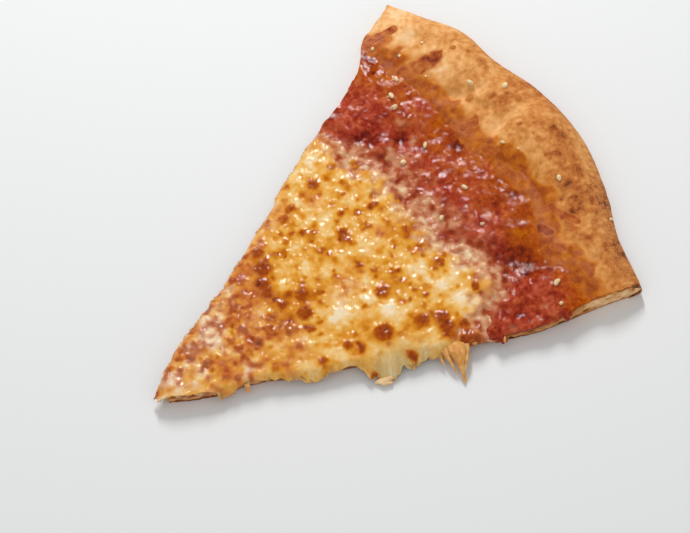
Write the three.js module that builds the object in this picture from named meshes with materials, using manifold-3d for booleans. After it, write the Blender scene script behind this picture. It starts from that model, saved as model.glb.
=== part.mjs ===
// One slice of a 16 inch thin-crust cheese pizza, lying flat.
// Three layers run through it and show at both cuts: the baked dough with its raised rim, the
// tomato sauce, and the melted cheese, which stops short of the rim and hangs over the cuts.
// Millimetres, +Z up. Plan positions are written from the slice's tip: X to the right, Y towards
// the rim. A "bearing" is an angle from the Y axis, a "reach" a distance past the dough's cut.
import * as THREE from "three";
import { mergeVertices } from "three/addons/utils/BufferGeometryUtils.js";
import Module from "manifold-3d";

// ---- Driving dimensions ----
const HALF_ANGLE = 25.4; // degrees from the middle line to each cut
const TIP_TO_CENTRE = [2.9, -102.8]; // moves the tip's frame to the middle of the slice's box
const GAP = 0.3; // between layers

const DOUGH_THICK = 4.4; // under the toppings
const DOUGH_TIP = 5; // radius where the dough starts, behind the cheese's tip
const RIM_CREST = 11; // height of the rim's crest
const RIM_SIDE = 4.6; // height at which the rim is widest
const CREST_IN = 14; // from the outer edge to the crest
const FOOT_IN = 56; // from the outer edge to the inner foot of the rim
const RIM_UNDERCUT = 6; // how far the rim's underside curves in
const CUT_UNDERCUT = 0.7; // how far the cut faces lean in at the bottom
const DOUGH_BARE = [-4, 3]; // past the sauce's edge, where its small relief starts and is full

const SAUCE_TIP = 8;
const SAUCE_THICK = 0.8; // under the cheese
const SAUCE_BARE_THICK = 1.5; // where it lies open
const SAUCE_EDGE_THICK = 0.35;
const SAUCE_INSET = 0.6; // behind the dough's cut, under the cheese
const SAUCE_FADE = 14; // width over which its outer edge thins
const SAUCE_OPEN = [1, 6]; // past the cheese's edge, where its lumps start and are full

const CHEESE_TIP = 1.2;
const CHEESE_THICK = 1.7;
const CHEESE_EDGE_THICK = 0.5;
const CHEESE_FADE = 7; // width over which its open edge thins
const LIP_THICK = 0.8; // of what hangs over a cut
const LIP_CURVE = 1.2; // over 1, a lip leaves the cut level and steepens outwards
const LIP_START = 0.3; // past the cut, where a lip starts to drop
const LEVEL_REACH = 0.9; // from this reach on, a lip drops in full
const TIP_DROP = 2.4; // how far the cheese's tip bends down
const TIP_BEND = 7; // radius where it starts to bend
const LOWEST_HANG = 0.5; // no hanging cheese is nearer the table

// Lines through handles: [radius, outward shift of the cut]
const LEFT_CUT = [
  [0, 0], [15, 1], [35, 0.4], [60, -1.8], [90, -3], [130, -2.4], [158, -5], [170, -4], [185, 1.2], [205, 0.3],
];
const RIGHT_CUT = [
  [0, 1], [20, 2.2], [42, 1.6], [60, 3.6], [80, 3.4], [110, 4.6], [148, 6], [162, 4.6], [176, 1], [195, 0.2],
];
// [bearing in degrees, radius]
const RIM_EDGE = [
  [-26, 205.4], [-21, 206], [-16, 208], [-10.5, 204.6], [-4, 206],
  [4, 204.6], [12, 199], [18, 194.3], [26, 195.6],
];
const SAUCE_EDGE = [
  [-26, 183], [-20, 178.5], [-12, 174.5], [-5, 170], [2, 172.5],
  [8, 173.5], [12, 170.5], [17, 168], [26, 177],
];
const CHEESE_EDGE = [
  [-26, 136], [-20, 135.5], [-16, 132], [-10.5, 138], [-7.5, 132],
  [0, 133], [9, 135], [18, 143], [23, 133], [27, 126],
];
// [bearing in degrees, height of the crest over RIM_CREST]
const CREST_WAVE = [
  [-26, -3.8], [-20, -1], [-14, 0.8], [-8, -0.2], [0, 1.6], [7, 0.6], [13, -0.6], [19, -1.6], [26, -2.8],
];
// [radius, reach, drop] of the cheese over the right cut: a drip, a thick lobe, a wide curtain
const RIGHT_LIP = [
  [0, 1, 1.4], [24, 1.2, 1.2], [29, 3.4, 4.4], [34, 1.2, 1.5], [54, 2, 3], [66, 3.2, 4.8], [74, 1.4, 1.8],
  [81, 1.6, 2], [88, 8, 5.7], [95, 7.6, 5.7], [104, 5, 4.6], [111, 3.6, 3.4], [119, 5.4, 4.8], [127, 2, 2.4],
];
const LEFT_LIP = [[0, 1, 1.4], [70, 0.9, 1.6], [130, 1.2, 1.8]];
// [radius, reach, drop] of the sauce over each cut, where no cheese covers it
const SAUCE_LIP = [
  [127, -SAUCE_INSET, 0], [135, 1.2, 1.7], [146, 0.9, 1.6], [158, 1.6, 2.4], [168, -SAUCE_INSET, 0],
];

// Forms: [x, y, radius, rise]
const DOUGH_FORMS = [
  [2, 185, 17, 1.5], [-41, 187, 13, 1.3], [-21, 189, 8, 1.1], [-70, 188, 11, 0.9], [29, 181, 13, 0.9],
  [55, 171, 13, 1], [72, 168, 9, 0.6], [-54, 178, 8, 0.7], [-72, 176, 6, -1.2], [45, 150, 9, -1.4],
];
// Creases: [x, y, x, y, width, depth]
const DOUGH_CREASES = [
  [-35, 172, -27, 187, 3, 0.9], [-10, 201, -9, 178, 3, 1.1],
  [-65, 178, -63, 168, 2.6, 0.8], [14, 176, 46, 166, 3, 0.5],
];
const SAUCE_FORMS = [
  [-53, 144, 11, 1.1], [-62, 154, 7, 0.5], [61, 146, 10, 1.7], [58, 124, 6, 0.9], [-19, 146, 5, 0.8],
  [4, 143, 7, 0.9], [22, 144, 7, 0.8], [33, 141, 5, 0.6], [-31, 139, 4, 1], [-33, 148, 3.4, -0.8],
  [-38, 154, 3.4, 0.7], [-9, 144, 3.4, 0.9], [45, 148, 8, -0.5], [-40, 138, 5, -0.4], [16, 164, 6, 0.4],
];
const CHEESE_FORMS = [
  [35, 86, 4.4, 0.9], [20, 97, 3.8, 0.7], [40, 101, 3.8, 0.7], [46, 108, 4, 0.9], [53, 110, 4, 0.8],
  [60, 111, 3.4, 0.6], [-37, 106, 3.8, 0.7], [-34, 91, 3.2, 0.5], [0, 72, 3.4, 0.6], [8, 68, 4, 0.6],
  [-18, 64, 4.2, 0.7], [-10, 62, 3.6, 0.6], [-20, 56, 3.4, 0.5], [7, 45, 4.4, 0.7], [-6, 43, 3.4, 0.6],
  [30, 73, 3.4, 0.5], [41, 127, 3.4, 0.6], [4, 122, 3.4, 0.6], [24, 122, 3.4, 0.5], [44, 120, 6, 0.9],
  [30, 92, 6, 0.7], [-35, 126, 3.6, 0.5], [-10, 101, 4.6, 0.5], [11, 26, 4.6, -0.4], [18, 46, 5, -0.4],
  [-12, 36, 4, 0.5], [29, 60, 3, 0.4],
];
// Waves: [wavelength, height, seed]
const RIM_WAVES = [[17, 0.5, 3], [7, 0.22, 5]];
const SAUCE_WAVES = [[9, 0.45, 7], [5, 0.3, 11]];
const CHEESE_WAVES = [[15, 0.4, 13], [6.5, 0.28, 17]];
const CUT_WAVES = [[13, 0.7, 19], [5, 0.35, 23]];
const FACE_WAVE = [6, 0.35, 29]; // hollows in the cut faces
const EDGE_WAVES = [[9, 1.6, 31], [4.5, 0.7, 37]]; // of the sauce's and the cheese's open edges
const GRAIN_SEED = 3;

// Pulled cheese and drips: [x, y, z, half width] along each
const CHEESE_STRANDS = [
  [[57.6, 105.5, 5.5, 2.9], [62.4, 103.2, 4.2, 2.1], [66.4, 101, 2.6, 1.2], [69.7, 99.6, 1.3, 0.5]],
  [[17.5, 31.6, 5.8, 1.2], [20.6, 30.8, 4.4, 0.9], [22.2, 29.4, 2.4, 0.5]],
  [[49.6, 78.4, 2.6, 1.5], [48.9, 74.4, 1.7, 1.7], [47, 70.6, 1.2, 0.8]],
];
const SAUCE_STRANDS = [
  [[60.8, 121.6, 6.1, 2.4], [65.4, 120.3, 5.6, 1.8], [67.8, 119.2, 3.4, 1], [68.6, 118.6, 1.9, 0.5]],
  [[71.5, 146.2, 8.4, 2.6], [75.9, 145, 7.7, 1.9], [78.2, 144.2, 5, 1.1], [78.9, 143.8, 2.6, 0.5]],
];
// Grated grains that baked dry: [x, y, radius]
const RIM_GRAINS = [
  [-34.5, 186, 1.4], [25, 183.5, 1.2], [-63, 183, 0.9],
  [-23.5, 196, 1.1], [-3, 177.8, 1.1], [-47.5, 178, 0.9],
];
const SAUCE_GRAINS = [[-52, 158.5, 1.3], [-47, 156, 1.5], [-23, 153, 1.2], [3, 152.5, 1.3], [60, 153.5, 1.5]];

// Cell sizes of the facets
const RIM_CELL = 3;
const SAUCE_CELL = 3;
const CHEESE_CELL = 2.9;
const HIDDEN_CELL = 12;
const FLOOR_ROW = 8; // on the underside
const SLOPE_CELL = 6;
const HIDDEN_ROW = 3.4;
const SLOPE_START = 24; // inside the sauce's edge, where the dough's cells get finer
const FINE_START = 5;
const COVER = 2; // inside the cheese's edge, where the sauce's cells get finer
const LIP_STEPS = [0.35, 0.7, 1]; // columns over a lip, as shares of its reach
const FACE_LEVELS = [0.3, 0.65]; // heights of the loops round the cut faces, as shares
const STRAND_SIDES = 6;
const STRAND_FLAT = 0.4; // height of a strand over its width
const GRAIN_SHAPE = [1.15, 0.85, 0.7]; // length, width and height over the radius
const GRAIN_RAISED = 1 / 3; // of the radius, from the surface to the grain's middle
const WELD = 0.02; // facets smaller than this are merged where pieces join
const SAME_POINT = 1e-4; // points nearer than this are one

const DOUGH_LOOK = { color: 0xd79a5a, roughness: 0.75, metalness: 0 };
const SAUCE_LOOK = { color: 0xa5402a, roughness: 0.35, metalness: 0 };
const CHEESE_LOOK = { color: 0xe8b765, roughness: 0.3, metalness: 0 };

// ---- Small maths ----
const wasm = await Module();
wasm.setup();
const radians = THREE.MathUtils.degToRad;
const degrees = THREE.MathUtils.radToDeg;
const lerp = THREE.MathUtils.lerp;
const smooth = THREE.MathUtils.smoothstep;

// A smooth curve through [position, value, ...] handles, level past both ends.
function curve(handles, at, column = 1) {
  const last = handles.length - 1;
  if (at <= handles[0][0]) return handles[0][column];
  if (at >= handles[last][0]) return handles[last][column];
  const i = handles.findIndex(([position]) => position > at) - 1;
  const slope = (k) => {
    const [a, b] = [handles[Math.max(k - 1, 0)], handles[Math.min(k + 1, last)]];
    return k === 0 || k === last ? 0 : (b[column] - a[column]) / (b[0] - a[0]);
  };
  const span = handles[i + 1][0] - handles[i][0];
  const t = (at - handles[i][0]) / span;
  const back = 1 - t;
  return (
    handles[i][column] * back * back * (1 + 2 * t) +
    handles[i + 1][column] * t * t * (3 - 2 * t) +
    span * (slope(i) * t * back * back - slope(i + 1) * t * t * back)
  );
}

// A random value from -1 to 1 for a whole-number place, the same in every run.
const PRIMES = [374761393, 668265263, 1274126177];
const LARGEST = 0xffffffff;
function scatter(i, j, seed) {
  let h = Math.imul(i, PRIMES[0]) ^ Math.imul(j, PRIMES[1]) ^ Math.imul(seed, PRIMES[2]);
  h = Math.imul(h ^ (h >>> 13), PRIMES[2]);
  return (2 * ((h ^ (h >>> 16)) >>> 0)) / LARGEST - 1;
}

// Rolling ground of one wavelength, from -1 to 1.
function wave(x, y, size, seed) {
  const [u, v] = [x / size, y / size];
  const [i, j] = [Math.floor(u), Math.floor(v)];
  const [s, t] = [smooth(u - i, 0, 1), smooth(v - j, 0, 1)];
  return lerp(
    lerp(scatter(i, j, seed), scatter(i + 1, j, seed), s),
    lerp(scatter(i, j + 1, seed), scatter(i + 1, j + 1, seed), s),
    t,
  );
}

const waves = (list, x, y) =>
  list.reduce((sum, [size, height, seed]) => sum + height * wave(x, y, size, seed), 0);

const forms = (list, x, y) =>
  list.reduce(
    (sum, [cx, cy, radius, rise]) =>
      sum + rise * Math.exp(-((x - cx) ** 2 + (y - cy) ** 2) / radius ** 2),
    0,
  );

function creases(list, x, y) {
  let sum = 0;
  for (const [ax, ay, bx, by, width, depth] of list) {
    const [dx, dy] = [bx - ax, by - ay];
    const along = THREE.MathUtils.clamp(((x - ax) * dx + (y - ay) * dy) / (dx * dx + dy * dy), 0, 1);
    const away = Math.hypot(x - ax - along * dx, y - ay - along * dy);
    sum -= depth * Math.exp(-((away / width) ** 2));
  }
  return sum;
}

// ---- The slice's plan ----
const LEFT = -1;
const RIGHT = 1;

// The bearing of a cut at a radius, moved outwards by reach.
function cutBearing(side, radius, reach = 0) {
  const shift = curve(side === LEFT ? LEFT_CUT : RIGHT_CUT, radius) + waves(CUT_WAVES, radius, side);
  return side * (HALF_ANGLE + degrees((shift + reach) / radius));
}

const place = (radius, bearing) => [
  radius * Math.sin(radians(bearing)),
  radius * Math.cos(radians(bearing)),
];
const rimRadius = (bearing) => curve(RIM_EDGE, bearing);

// The open edge of a topping, ragged by EDGE_WAVES.
function openEdge(handles, bearing, seed) {
  const radius = curve(handles, bearing);
  return radius + waves(EDGE_WAVES, radians(bearing) * radius, seed);
}
const cheeseRadius = (bearing) => openEdge(CHEESE_EDGE, bearing, 1);
const sauceRadius = (bearing) => openEdge(SAUCE_EDGE, bearing, 2);

// How far a point lies past the nearer cut of the dough.
function pastCut(radius, bearing) {
  const side = bearing < 0 ? LEFT : RIGHT;
  return radians(Math.abs(bearing) - Math.abs(cutBearing(side, radius))) * radius;
}

// ---- Heights ----
const polar = (x, y) => [Math.hypot(x, y), degrees(Math.atan2(x, y))];

function doughBase(x, y) {
  const [radius, bearing] = polar(x, y);
  const inwards = Math.max(rimRadius(bearing) - radius, 0);
  const crest = RIM_CREST + curve(CREST_WAVE, bearing);
  if (inwards >= CREST_IN) return lerp(crest, DOUGH_THICK, smooth(inwards, CREST_IN, FOOT_IN));
  const roundness = Math.sqrt(1 - (1 - inwards / CREST_IN) ** 2);
  return lerp(RIM_SIDE, crest, roundness);
}

// Relief fades out at the rim's widest line and under the sauce's middle.
function doughTop(x, y) {
  const [radius, bearing] = polar(x, y);
  const edge = smooth(rimRadius(bearing) - radius, 0, RIM_UNDERCUT);
  const bare = smooth(radius - sauceRadius(bearing), ...DOUGH_BARE);
  const relief = forms(DOUGH_FORMS, x, y) + creases(DOUGH_CREASES, x, y);
  return doughBase(x, y) + edge * (relief + bare * waves(RIM_WAVES, x, y));
}

const sauceUnder = (x, y) => doughTop(x, y) + GAP;

function sauceTop(x, y) {
  const [radius, bearing] = polar(x, y);
  const open = smooth(radius - cheeseRadius(bearing), ...SAUCE_OPEN);
  const edge = smooth(sauceRadius(bearing) - radius, 0, SAUCE_FADE);
  const lumps = forms(SAUCE_FORMS, x, y) + waves(SAUCE_WAVES, x, y);
  const bare = lerp(SAUCE_EDGE_THICK, Math.max(SAUCE_BARE_THICK + lumps, SAUCE_EDGE_THICK), edge);
  return sauceUnder(x, y) + lerp(SAUCE_THICK, bare, open);
}

const cheeseUnder = (x, y) => sauceTop(x, y) + GAP;

function cheeseTop(x, y) {
  const [radius, bearing] = polar(x, y);
  const full = smooth(cheeseRadius(bearing) - radius, 0, CHEESE_FADE);
  const relief = forms(CHEESE_FORMS, x, y) + waves(CHEESE_WAVES, x, y);
  return cheeseUnder(x, y) + lerp(CHEESE_EDGE_THICK, CHEESE_THICK + relief, full);
}

// How far a topping has dropped at a point past the cut. A lip that hardly reaches out stays level.
function lipDrop(lip, radius, past) {
  const reach = curve(lip, radius, 1);
  if (past <= LIP_START || reach <= LIP_START) return 0;
  const drop = curve(lip, radius, 2) * smooth(reach, LIP_START, LEVEL_REACH);
  return drop * Math.min((past - LIP_START) / (reach - LIP_START), 1) ** LIP_CURVE;
}

// ---- Closed skins ----
class Skin {
  constructor() {
    this.points = [];
    this.faces = [];
  }

  line(points) {
    return points.map((point) => this.points.push(point) - 1);
  }

  // Fills the strip between two lines of points, always across the shorter diagonal.
  zip(near, far, turned = false) {
    const span = (a, b) => Math.hypot(...this.points[a].map((v, k) => v - this.points[b][k]));
    let [i, j] = [0, 0];
    while (i < near.length - 1 || j < far.length - 1) {
      const nearNext =
        j === far.length - 1 ||
        (i < near.length - 1 && span(near[i + 1], far[j]) < span(near[i], far[j + 1]));
      const face = nearNext ? [near[i], near[i + 1], far[j]] : [near[i], far[j + 1], far[j]];
      this.faces.push(turned ? face.reverse() : face);
      if (nearNext) i += 1;
      else j += 1;
    }
  }

  // Rows run from left to right, the first nearest the tip.
  sheet(rows, facingDown = false) {
    rows.slice(1).forEach((row, k) => this.zip(rows[k], row, facingDown));
  }

  // Walls between closed loops, from the lowest to the highest.
  wall(loops) {
    const closed = loops.map((loop) => [...loop, loop[0]]);
    closed.slice(1).forEach((loop, k) => this.zip(closed[k], loop));
  }

  geometry() {
    const made = new THREE.BufferGeometry();
    made.setAttribute("position", new THREE.Float32BufferAttribute(this.points.flat(), 3));
    made.setIndex(this.faces.flat());
    return made;
  }
}

// The loop round a stack of rows: first row, right ends, last row back, left ends.
function around(rows) {
  const inner = rows.slice(1, -1);
  return [
    ...rows[0],
    ...inner.map((row) => row.at(-1)),
    ...rows.at(-1).toReversed(),
    ...inner.toReversed().map((row) => row[0]),
  ];
}

// Radii of rows between two lines, denser towards the second where crowd is set.
function bands(from, to, length, step, crowd = false) {
  const count = Math.max(1, Math.round(length / step));
  return Array.from({ length: count }, (_, k) => {
    const share = crowd ? Math.sin(((k + 1) / count) * (Math.PI / 2)) : (k + 1) / count;
    return (bearing) => lerp(from(bearing), to(bearing), share);
  });
}

const fixed = (radius) => () => radius;

// One row across the slice at radiusOf(bearing), in cells of one size, with points over the lips.
function across(radiusOf, cell, height, reachOf, steps = []) {
  const middle = radiusOf(0);
  const count = Math.max(2, Math.round((2 * radians(HALF_ANGLE) * middle) / cell));
  const point = (bearing) => {
    const radius = radiusOf(bearing);
    const [x, y] = place(radius, bearing);
    return [x, y, height(x, y, radius, bearing)];
  };
  const end = (side, share) => {
    const radius = radiusOf(side * HALF_ANGLE);
    const reach = reachOf(side, radius);
    return cutBearing(side, radius, reach > 0 ? reach * share : reach);
  };
  const [left, right] = [end(LEFT, 0), end(RIGHT, 0)];
  const inside = Array.from({ length: count + 1 }, (_, k) => lerp(left, right, k / count));
  return [
    ...steps.toReversed().map((share) => end(LEFT, share)),
    ...inside,
    ...steps.map((share) => end(RIGHT, share)),
  ].map(point);
}

// ---- The three layers ----
function dough() {
  const skin = new Skin();
  const flush = () => 0;
  const slope = (bearing) => sauceRadius(bearing) - SLOPE_START;
  const bare = (bearing) => sauceRadius(bearing) - FINE_START;
  const rows = [
    [fixed(DOUGH_TIP), HIDDEN_CELL],
    ...bands(fixed(DOUGH_TIP), slope, slope(0), HIDDEN_ROW).map((r) => [r, HIDDEN_CELL]),
    ...bands(slope, bare, bare(0) - slope(0), HIDDEN_ROW).map((r) => [r, SLOPE_CELL]),
    ...bands(bare, rimRadius, rimRadius(0) - bare(0), RIM_CELL, true).map((r) => [r, RIM_CELL]),
  ];
  const top = rows.map(([r, cell]) => skin.line(across(r, cell, doughTop, flush)));
  skin.sheet(top);

  const rim = top.at(-1);
  const edge = around(top);
  const onRim = new Set(rim);
  const levels = FACE_LEVELS.map((share) =>
    skin.line(edge.map((index, k) => tuckIn(skin.points, edge, k, share, onRim.has(index)))),
  );

  const inner = (bearing) => rimRadius(bearing) - RIM_UNDERCUT;
  const leaning = () => -CUT_UNDERCUT;
  const floor = [
    fixed(DOUGH_TIP + CUT_UNDERCUT),
    ...bands(fixed(DOUGH_TIP + CUT_UNDERCUT), inner, inner(0), FLOOR_ROW),
  ].map((r) => skin.line(across(r, HIDDEN_CELL, () => 0, leaning)));
  skin.sheet(floor, true);
  skin.wall([around(floor), ...levels, edge]);
  return skin.geometry();
}

// A point of the dough's edge moved down to a share of its height and in, as the rim curves under.
function tuckIn(points, loop, k, share, isRim) {
  const [x, y, z] = points[loop[k]];
  const [before, after] = [points[loop.at(k - 1)], points[loop[(k + 1) % loop.length]]];
  const [dx, dy] = [after[0] - before[0], after[1] - before[1]];
  const length = Math.hypot(dx, dy);
  const [size, depth, seed] = FACE_WAVE;
  const hollow = depth * (1 + wave(x + share * size, y, size, seed));
  const inset = isRim ? RIM_UNDERCUT * (1 - share) ** 2 : hollow + CUT_UNDERCUT * (1 - share);
  return [x - (dy / length) * inset, y + (dx / length) * inset, z * share];
}

// A topping: a closed sheet between two height functions, with lips over the cuts.
function topping({ top, under, reachOf, lipOf, rows, lowRows }) {
  const skin = new Skin();
  const hung = (height) => (x, y, radius, bearing) => {
    const past = pastCut(radius, bearing);
    return height(x, y) - lipDrop(lipOf(bearing < 0 ? LEFT : RIGHT), radius, past);
  };
  const upper = (x, y, radius, bearing) =>
    Math.max(hung(top)(x, y, radius, bearing), LOWEST_HANG + LIP_THICK);
  const lower = (x, y, radius, bearing) => {
    const ceiling = upper(x, y, radius, bearing);
    const past = pastCut(radius, bearing);
    const bottom = hung(under)(x, y, radius, bearing);
    return Math.max(past > 0 ? Math.max(bottom, ceiling - LIP_THICK) : bottom, LOWEST_HANG);
  };
  const lay = (list, height) =>
    list.map(([r, cell]) => skin.line(across(r, cell, height, reachOf, LIP_STEPS)));
  const [above, below] = [lay(rows, upper), lay(lowRows, lower)];
  skin.sheet(above);
  skin.sheet(below, true);
  skin.wall([around(below), around(above)]);
  return skin.geometry();
}

function sauce() {
  const reachOf = (side, radius) => curve(SAUCE_LIP, radius, 1);
  const start = fixed(SAUCE_TIP);
  const covered = (bearing) => cheeseRadius(bearing) - COVER;
  const [hidden, open] = [covered(0) - SAUCE_TIP, sauceRadius(0) - covered(0)];
  const low = [
    [start, HIDDEN_CELL],
    ...bands(start, covered, hidden, HIDDEN_ROW).map((r) => [r, HIDDEN_CELL]),
    ...bands(covered, sauceRadius, open, HIDDEN_ROW).map((r) => [r, SLOPE_CELL]),
  ];
  const high = [
    [start, HIDDEN_CELL],
    ...bands(start, covered, hidden, HIDDEN_ROW).map((r) => [r, HIDDEN_CELL]),
    ...bands(covered, sauceRadius, open, SAUCE_CELL).map((r) => [r, SAUCE_CELL]),
  ];
  const lipOf = () => SAUCE_LIP;
  return topping({ top: sauceTop, under: sauceUnder, reachOf, lipOf, rows: high, lowRows: low });
}

function cheese() {
  const lipOf = (side) => (side === LEFT ? LEFT_LIP : RIGHT_LIP);
  const reachOf = (side, radius) => curve(lipOf(side), radius, 1);
  const bend = (height) => (x, y) =>
    height(x, y) - TIP_DROP * (1 - smooth(Math.hypot(x, y), 0, TIP_BEND));
  const start = fixed(CHEESE_TIP);
  const low = [
    [start, HIDDEN_CELL],
    ...bands(start, cheeseRadius, cheeseRadius(0), HIDDEN_ROW).map((r) => [r, HIDDEN_CELL]),
  ];
  const high = [
    [start, HIDDEN_CELL],
    ...bands(start, cheeseRadius, cheeseRadius(0), CHEESE_CELL).map((r) => [r, CHEESE_CELL]),
  ];
  const [top, under] = [bend(cheeseTop), bend(cheeseUnder)];
  return topping({ top, under, reachOf, lipOf, rows: high, lowRows: low });
}

// ---- Small things fused on ----
// A tapering strand along a path of [x, y, z, half width].
function strand(path) {
  const skin = new Skin();
  const centres = path.map(([x, y, z]) => new THREE.Vector3(x, y, z));
  const spine = new THREE.CatmullRomCurve3(centres);
  const rings = path.map(([, , , width], k) => {
    const forward = spine.getTangent(k / (path.length - 1));
    const sideways = new THREE.Vector3(forward.y, -forward.x, 0).normalize();
    const upwards = sideways.clone().cross(forward).normalize();
    return skin.line(
      Array.from({ length: STRAND_SIDES }, (_, n) => {
        const turn = (-2 * Math.PI * n) / STRAND_SIDES; // anticlockwise from the strand's end
        return centres[k]
          .clone()
          .addScaledVector(sideways, width * Math.cos(turn))
          .addScaledVector(upwards, width * STRAND_FLAT * Math.sin(turn))
          .toArray();
      }),
    );
  });
  skin.wall(rings);
  const cap = (ring, k, turned) => {
    const [centre] = skin.line([centres.at(k).toArray()]);
    ring.forEach((index, n) => {
      const face = [ring[(n + 1) % ring.length], index, centre];
      skin.faces.push(turned ? face.reverse() : face);
    });
  };
  cap(rings[0], 0, false);
  cap(rings.at(-1), -1, true);
  return skin.geometry();
}

// A dry grain of grated cheese, half sunk in and turned at random.
function grain([x, y, radius], height) {
  const made = new THREE.IcosahedronGeometry(radius, 0);
  made.scale(...GRAIN_SHAPE);
  made.rotateZ(Math.PI * scatter(Math.round(x), Math.round(y), GRAIN_SEED));
  made.translate(x, y, height(x, y) + radius * GRAIN_RAISED);
  return made;
}

function solid(geometry) {
  const bare = geometry.clone().deleteAttribute("normal").deleteAttribute("uv");
  const merged = mergeVertices(bare, SAME_POINT);
  return new wasm.Manifold(
    new wasm.Mesh({
      numProp: 3,
      vertProperties: merged.attributes.position.array,
      triVerts: new Uint32Array(merged.index.array),
    }),
  );
}

// Joins small things on, and keeps the outer skin alone, so that no sealed hollow is left.
function fuse(geometry, extras) {
  const joined = extras
    .reduce((whole, extra) => whole.add(solid(extra)), solid(geometry))
    .simplify(WELD);
  const [outer] = joined.decompose().sort((a, b) => b.volume() - a.volume());
  const { vertProperties, triVerts } = outer.getMesh();
  const made = new THREE.BufferGeometry();
  made.setAttribute("position", new THREE.BufferAttribute(vertProperties, 3));
  made.setIndex(new THREE.BufferAttribute(triVerts, 1));
  return made;
}

// ---- The slice ----
function layer(name, geometry, look) {
  geometry.computeVertexNormals();
  const mesh = new THREE.Mesh(geometry, new THREE.MeshStandardMaterial(look));
  mesh.name = name;
  mesh.position.set(...TIP_TO_CENTRE, 0);
  return mesh;
}

const slice = new THREE.Group();
slice.add(
  layer("crust", fuse(dough(), RIM_GRAINS.map((g) => grain(g, doughTop))), DOUGH_LOOK),
  layer(
    "tomato_sauce",
    fuse(sauce(), [...SAUCE_GRAINS.map((g) => grain(g, sauceTop)), ...SAUCE_STRANDS.map(strand)]),
    SAUCE_LOOK,
  ),
  layer("melted_cheese", fuse(cheese(), CHEESE_STRANDS.map(strand)), CHEESE_LOOK),
);
export default slice;
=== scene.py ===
"""A slice of thin-crust cheese pizza on a pale table.

The baked dough, the tomato sauce and the melted cheese are each one closed skin that replaces its
solid in the frame. Loose grains, crumbs, strands and drips lie on them.
Shapes are worked out in millimetres on the slice's own plan: the tip at the origin, X to the right,
Y towards the rim, Z up. A bearing is an angle from the Y axis, a reach a distance past the cut.
"""

import itertools
import math

import bpy
import numpy as np
from mathutils import Matrix, Vector


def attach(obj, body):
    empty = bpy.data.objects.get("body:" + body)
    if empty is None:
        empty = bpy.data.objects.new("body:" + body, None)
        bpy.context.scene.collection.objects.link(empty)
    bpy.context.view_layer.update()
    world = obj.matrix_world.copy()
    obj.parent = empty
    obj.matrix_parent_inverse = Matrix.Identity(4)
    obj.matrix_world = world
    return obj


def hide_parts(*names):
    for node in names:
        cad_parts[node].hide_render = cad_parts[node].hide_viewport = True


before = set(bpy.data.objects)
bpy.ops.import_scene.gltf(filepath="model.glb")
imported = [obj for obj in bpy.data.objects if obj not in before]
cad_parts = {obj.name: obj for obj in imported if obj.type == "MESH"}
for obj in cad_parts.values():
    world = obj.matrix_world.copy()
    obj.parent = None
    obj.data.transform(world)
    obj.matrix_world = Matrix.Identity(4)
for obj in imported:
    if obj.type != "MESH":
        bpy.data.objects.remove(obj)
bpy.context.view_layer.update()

# ---- Sizes of the slice ----
MM = 0.001
TIP_TO_CENTRE = np.array([2.9, -102.8, 0])  # from the tip to the middle of the slice
HALF_ANGLE = 25.4  # degrees from the middle line to each cut

DOUGH_THICK = 4.4
DOUGH_TIP = 5  # radius where the dough starts
RIM_CREST = 11  # height
RIM_SIDE = 4.6  # height at which the rim is widest
CREST_IN = 14  # from the outer edge to the crest
FOOT_IN = 56  # from the outer edge to the inner foot of the rim
RIM_UNDERCUT = 6  # how far the rim's foot lies inside its outer edge
CUT_UNDERCUT = 0.7  # how far the foot of a cut face lies inside its top
DOUGH_BARE = (-4, 3)  # past the sauce's edge, where the small relief starts and is full

SAUCE_TIP = 8  # radius where the sauce starts
SAUCE_THICK = 0.8  # under the cheese
SAUCE_BARE_THICK = 1.7  # in the open band
SAUCE_INSET = 0.6  # of its sides from the cuts, away from that band
SAUCE_FADE = 14  # from its outer edge to its full thickness
SAUCE_OPEN = (1, 6)  # past the cheese's edge, where it starts to thicken and is thick
SAUCE_RELIEF_IN = (3, 20)  # inside its outer edge, where its fine relief starts and is full

CHEESE_TIP = 1.2  # radius where the cheese starts
CHEESE_THICK = 1.9
CHEESE_FADE = 7  # how far inside its open edge the sauce is hidden
LIP_THICK = 0.9
LIP_START = 0.3  # the reach past the cut from which a lip sinks
LEVEL_REACH = 0.9  # the reach from which it sinks by its whole drop
TIP_DROP = 2.4  # how far the cheese bends down at the tip
TIP_BEND = 7  # radius where that bend starts
LOWEST_HANG = 0.5  # above the table
SUNK_EDGE = 0.5  # how deep a topping's edge ends in what lies under it

# [radius, outward shift of the cut]
LEFT_CUT = [
    [0, 0], [15, 1], [35, 0.4], [60, -1.8], [90, -3], [130, -2.4], [158, -5], [170, -4], [185, 1.2],
    [205, 0.3],
]
RIGHT_CUT = [
    [0, 1], [20, 2.2], [42, 1.6], [60, 3.6], [80, 3.4], [110, 4.6], [148, 6], [162, 4.6], [176, 1],
    [195, 0.2],
]
# [bearing, radius]
RIM_EDGE = [
    [-26, 205.4], [-21, 206], [-16, 208], [-10.5, 204.6], [-4, 206], [4, 204.6], [12, 199], [18, 194.3],
    [26, 195.6],
]
SAUCE_EDGE = [
    [-26, 183], [-20, 178.5], [-12, 174.5], [-5, 170], [2, 172.5], [8, 173.5], [12, 170.5], [17, 168],
    [26, 177],
]
CHEESE_EDGE = [
    [-26, 136], [-20, 135.5], [-16, 132], [-10.5, 138], [-7.5, 132], [0, 133], [9, 135], [18, 143],
    [23, 136], [27, 131],
]
# [bearing, height of the crest over RIM_CREST]
CREST_WAVE = [
    [-26, -3.8], [-20, -1], [-14, 0.8], [-8, -0.2], [0, 1.6], [7, 0.6], [13, -0.6], [19, -1.6],
    [26, -2.8],
]
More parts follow.
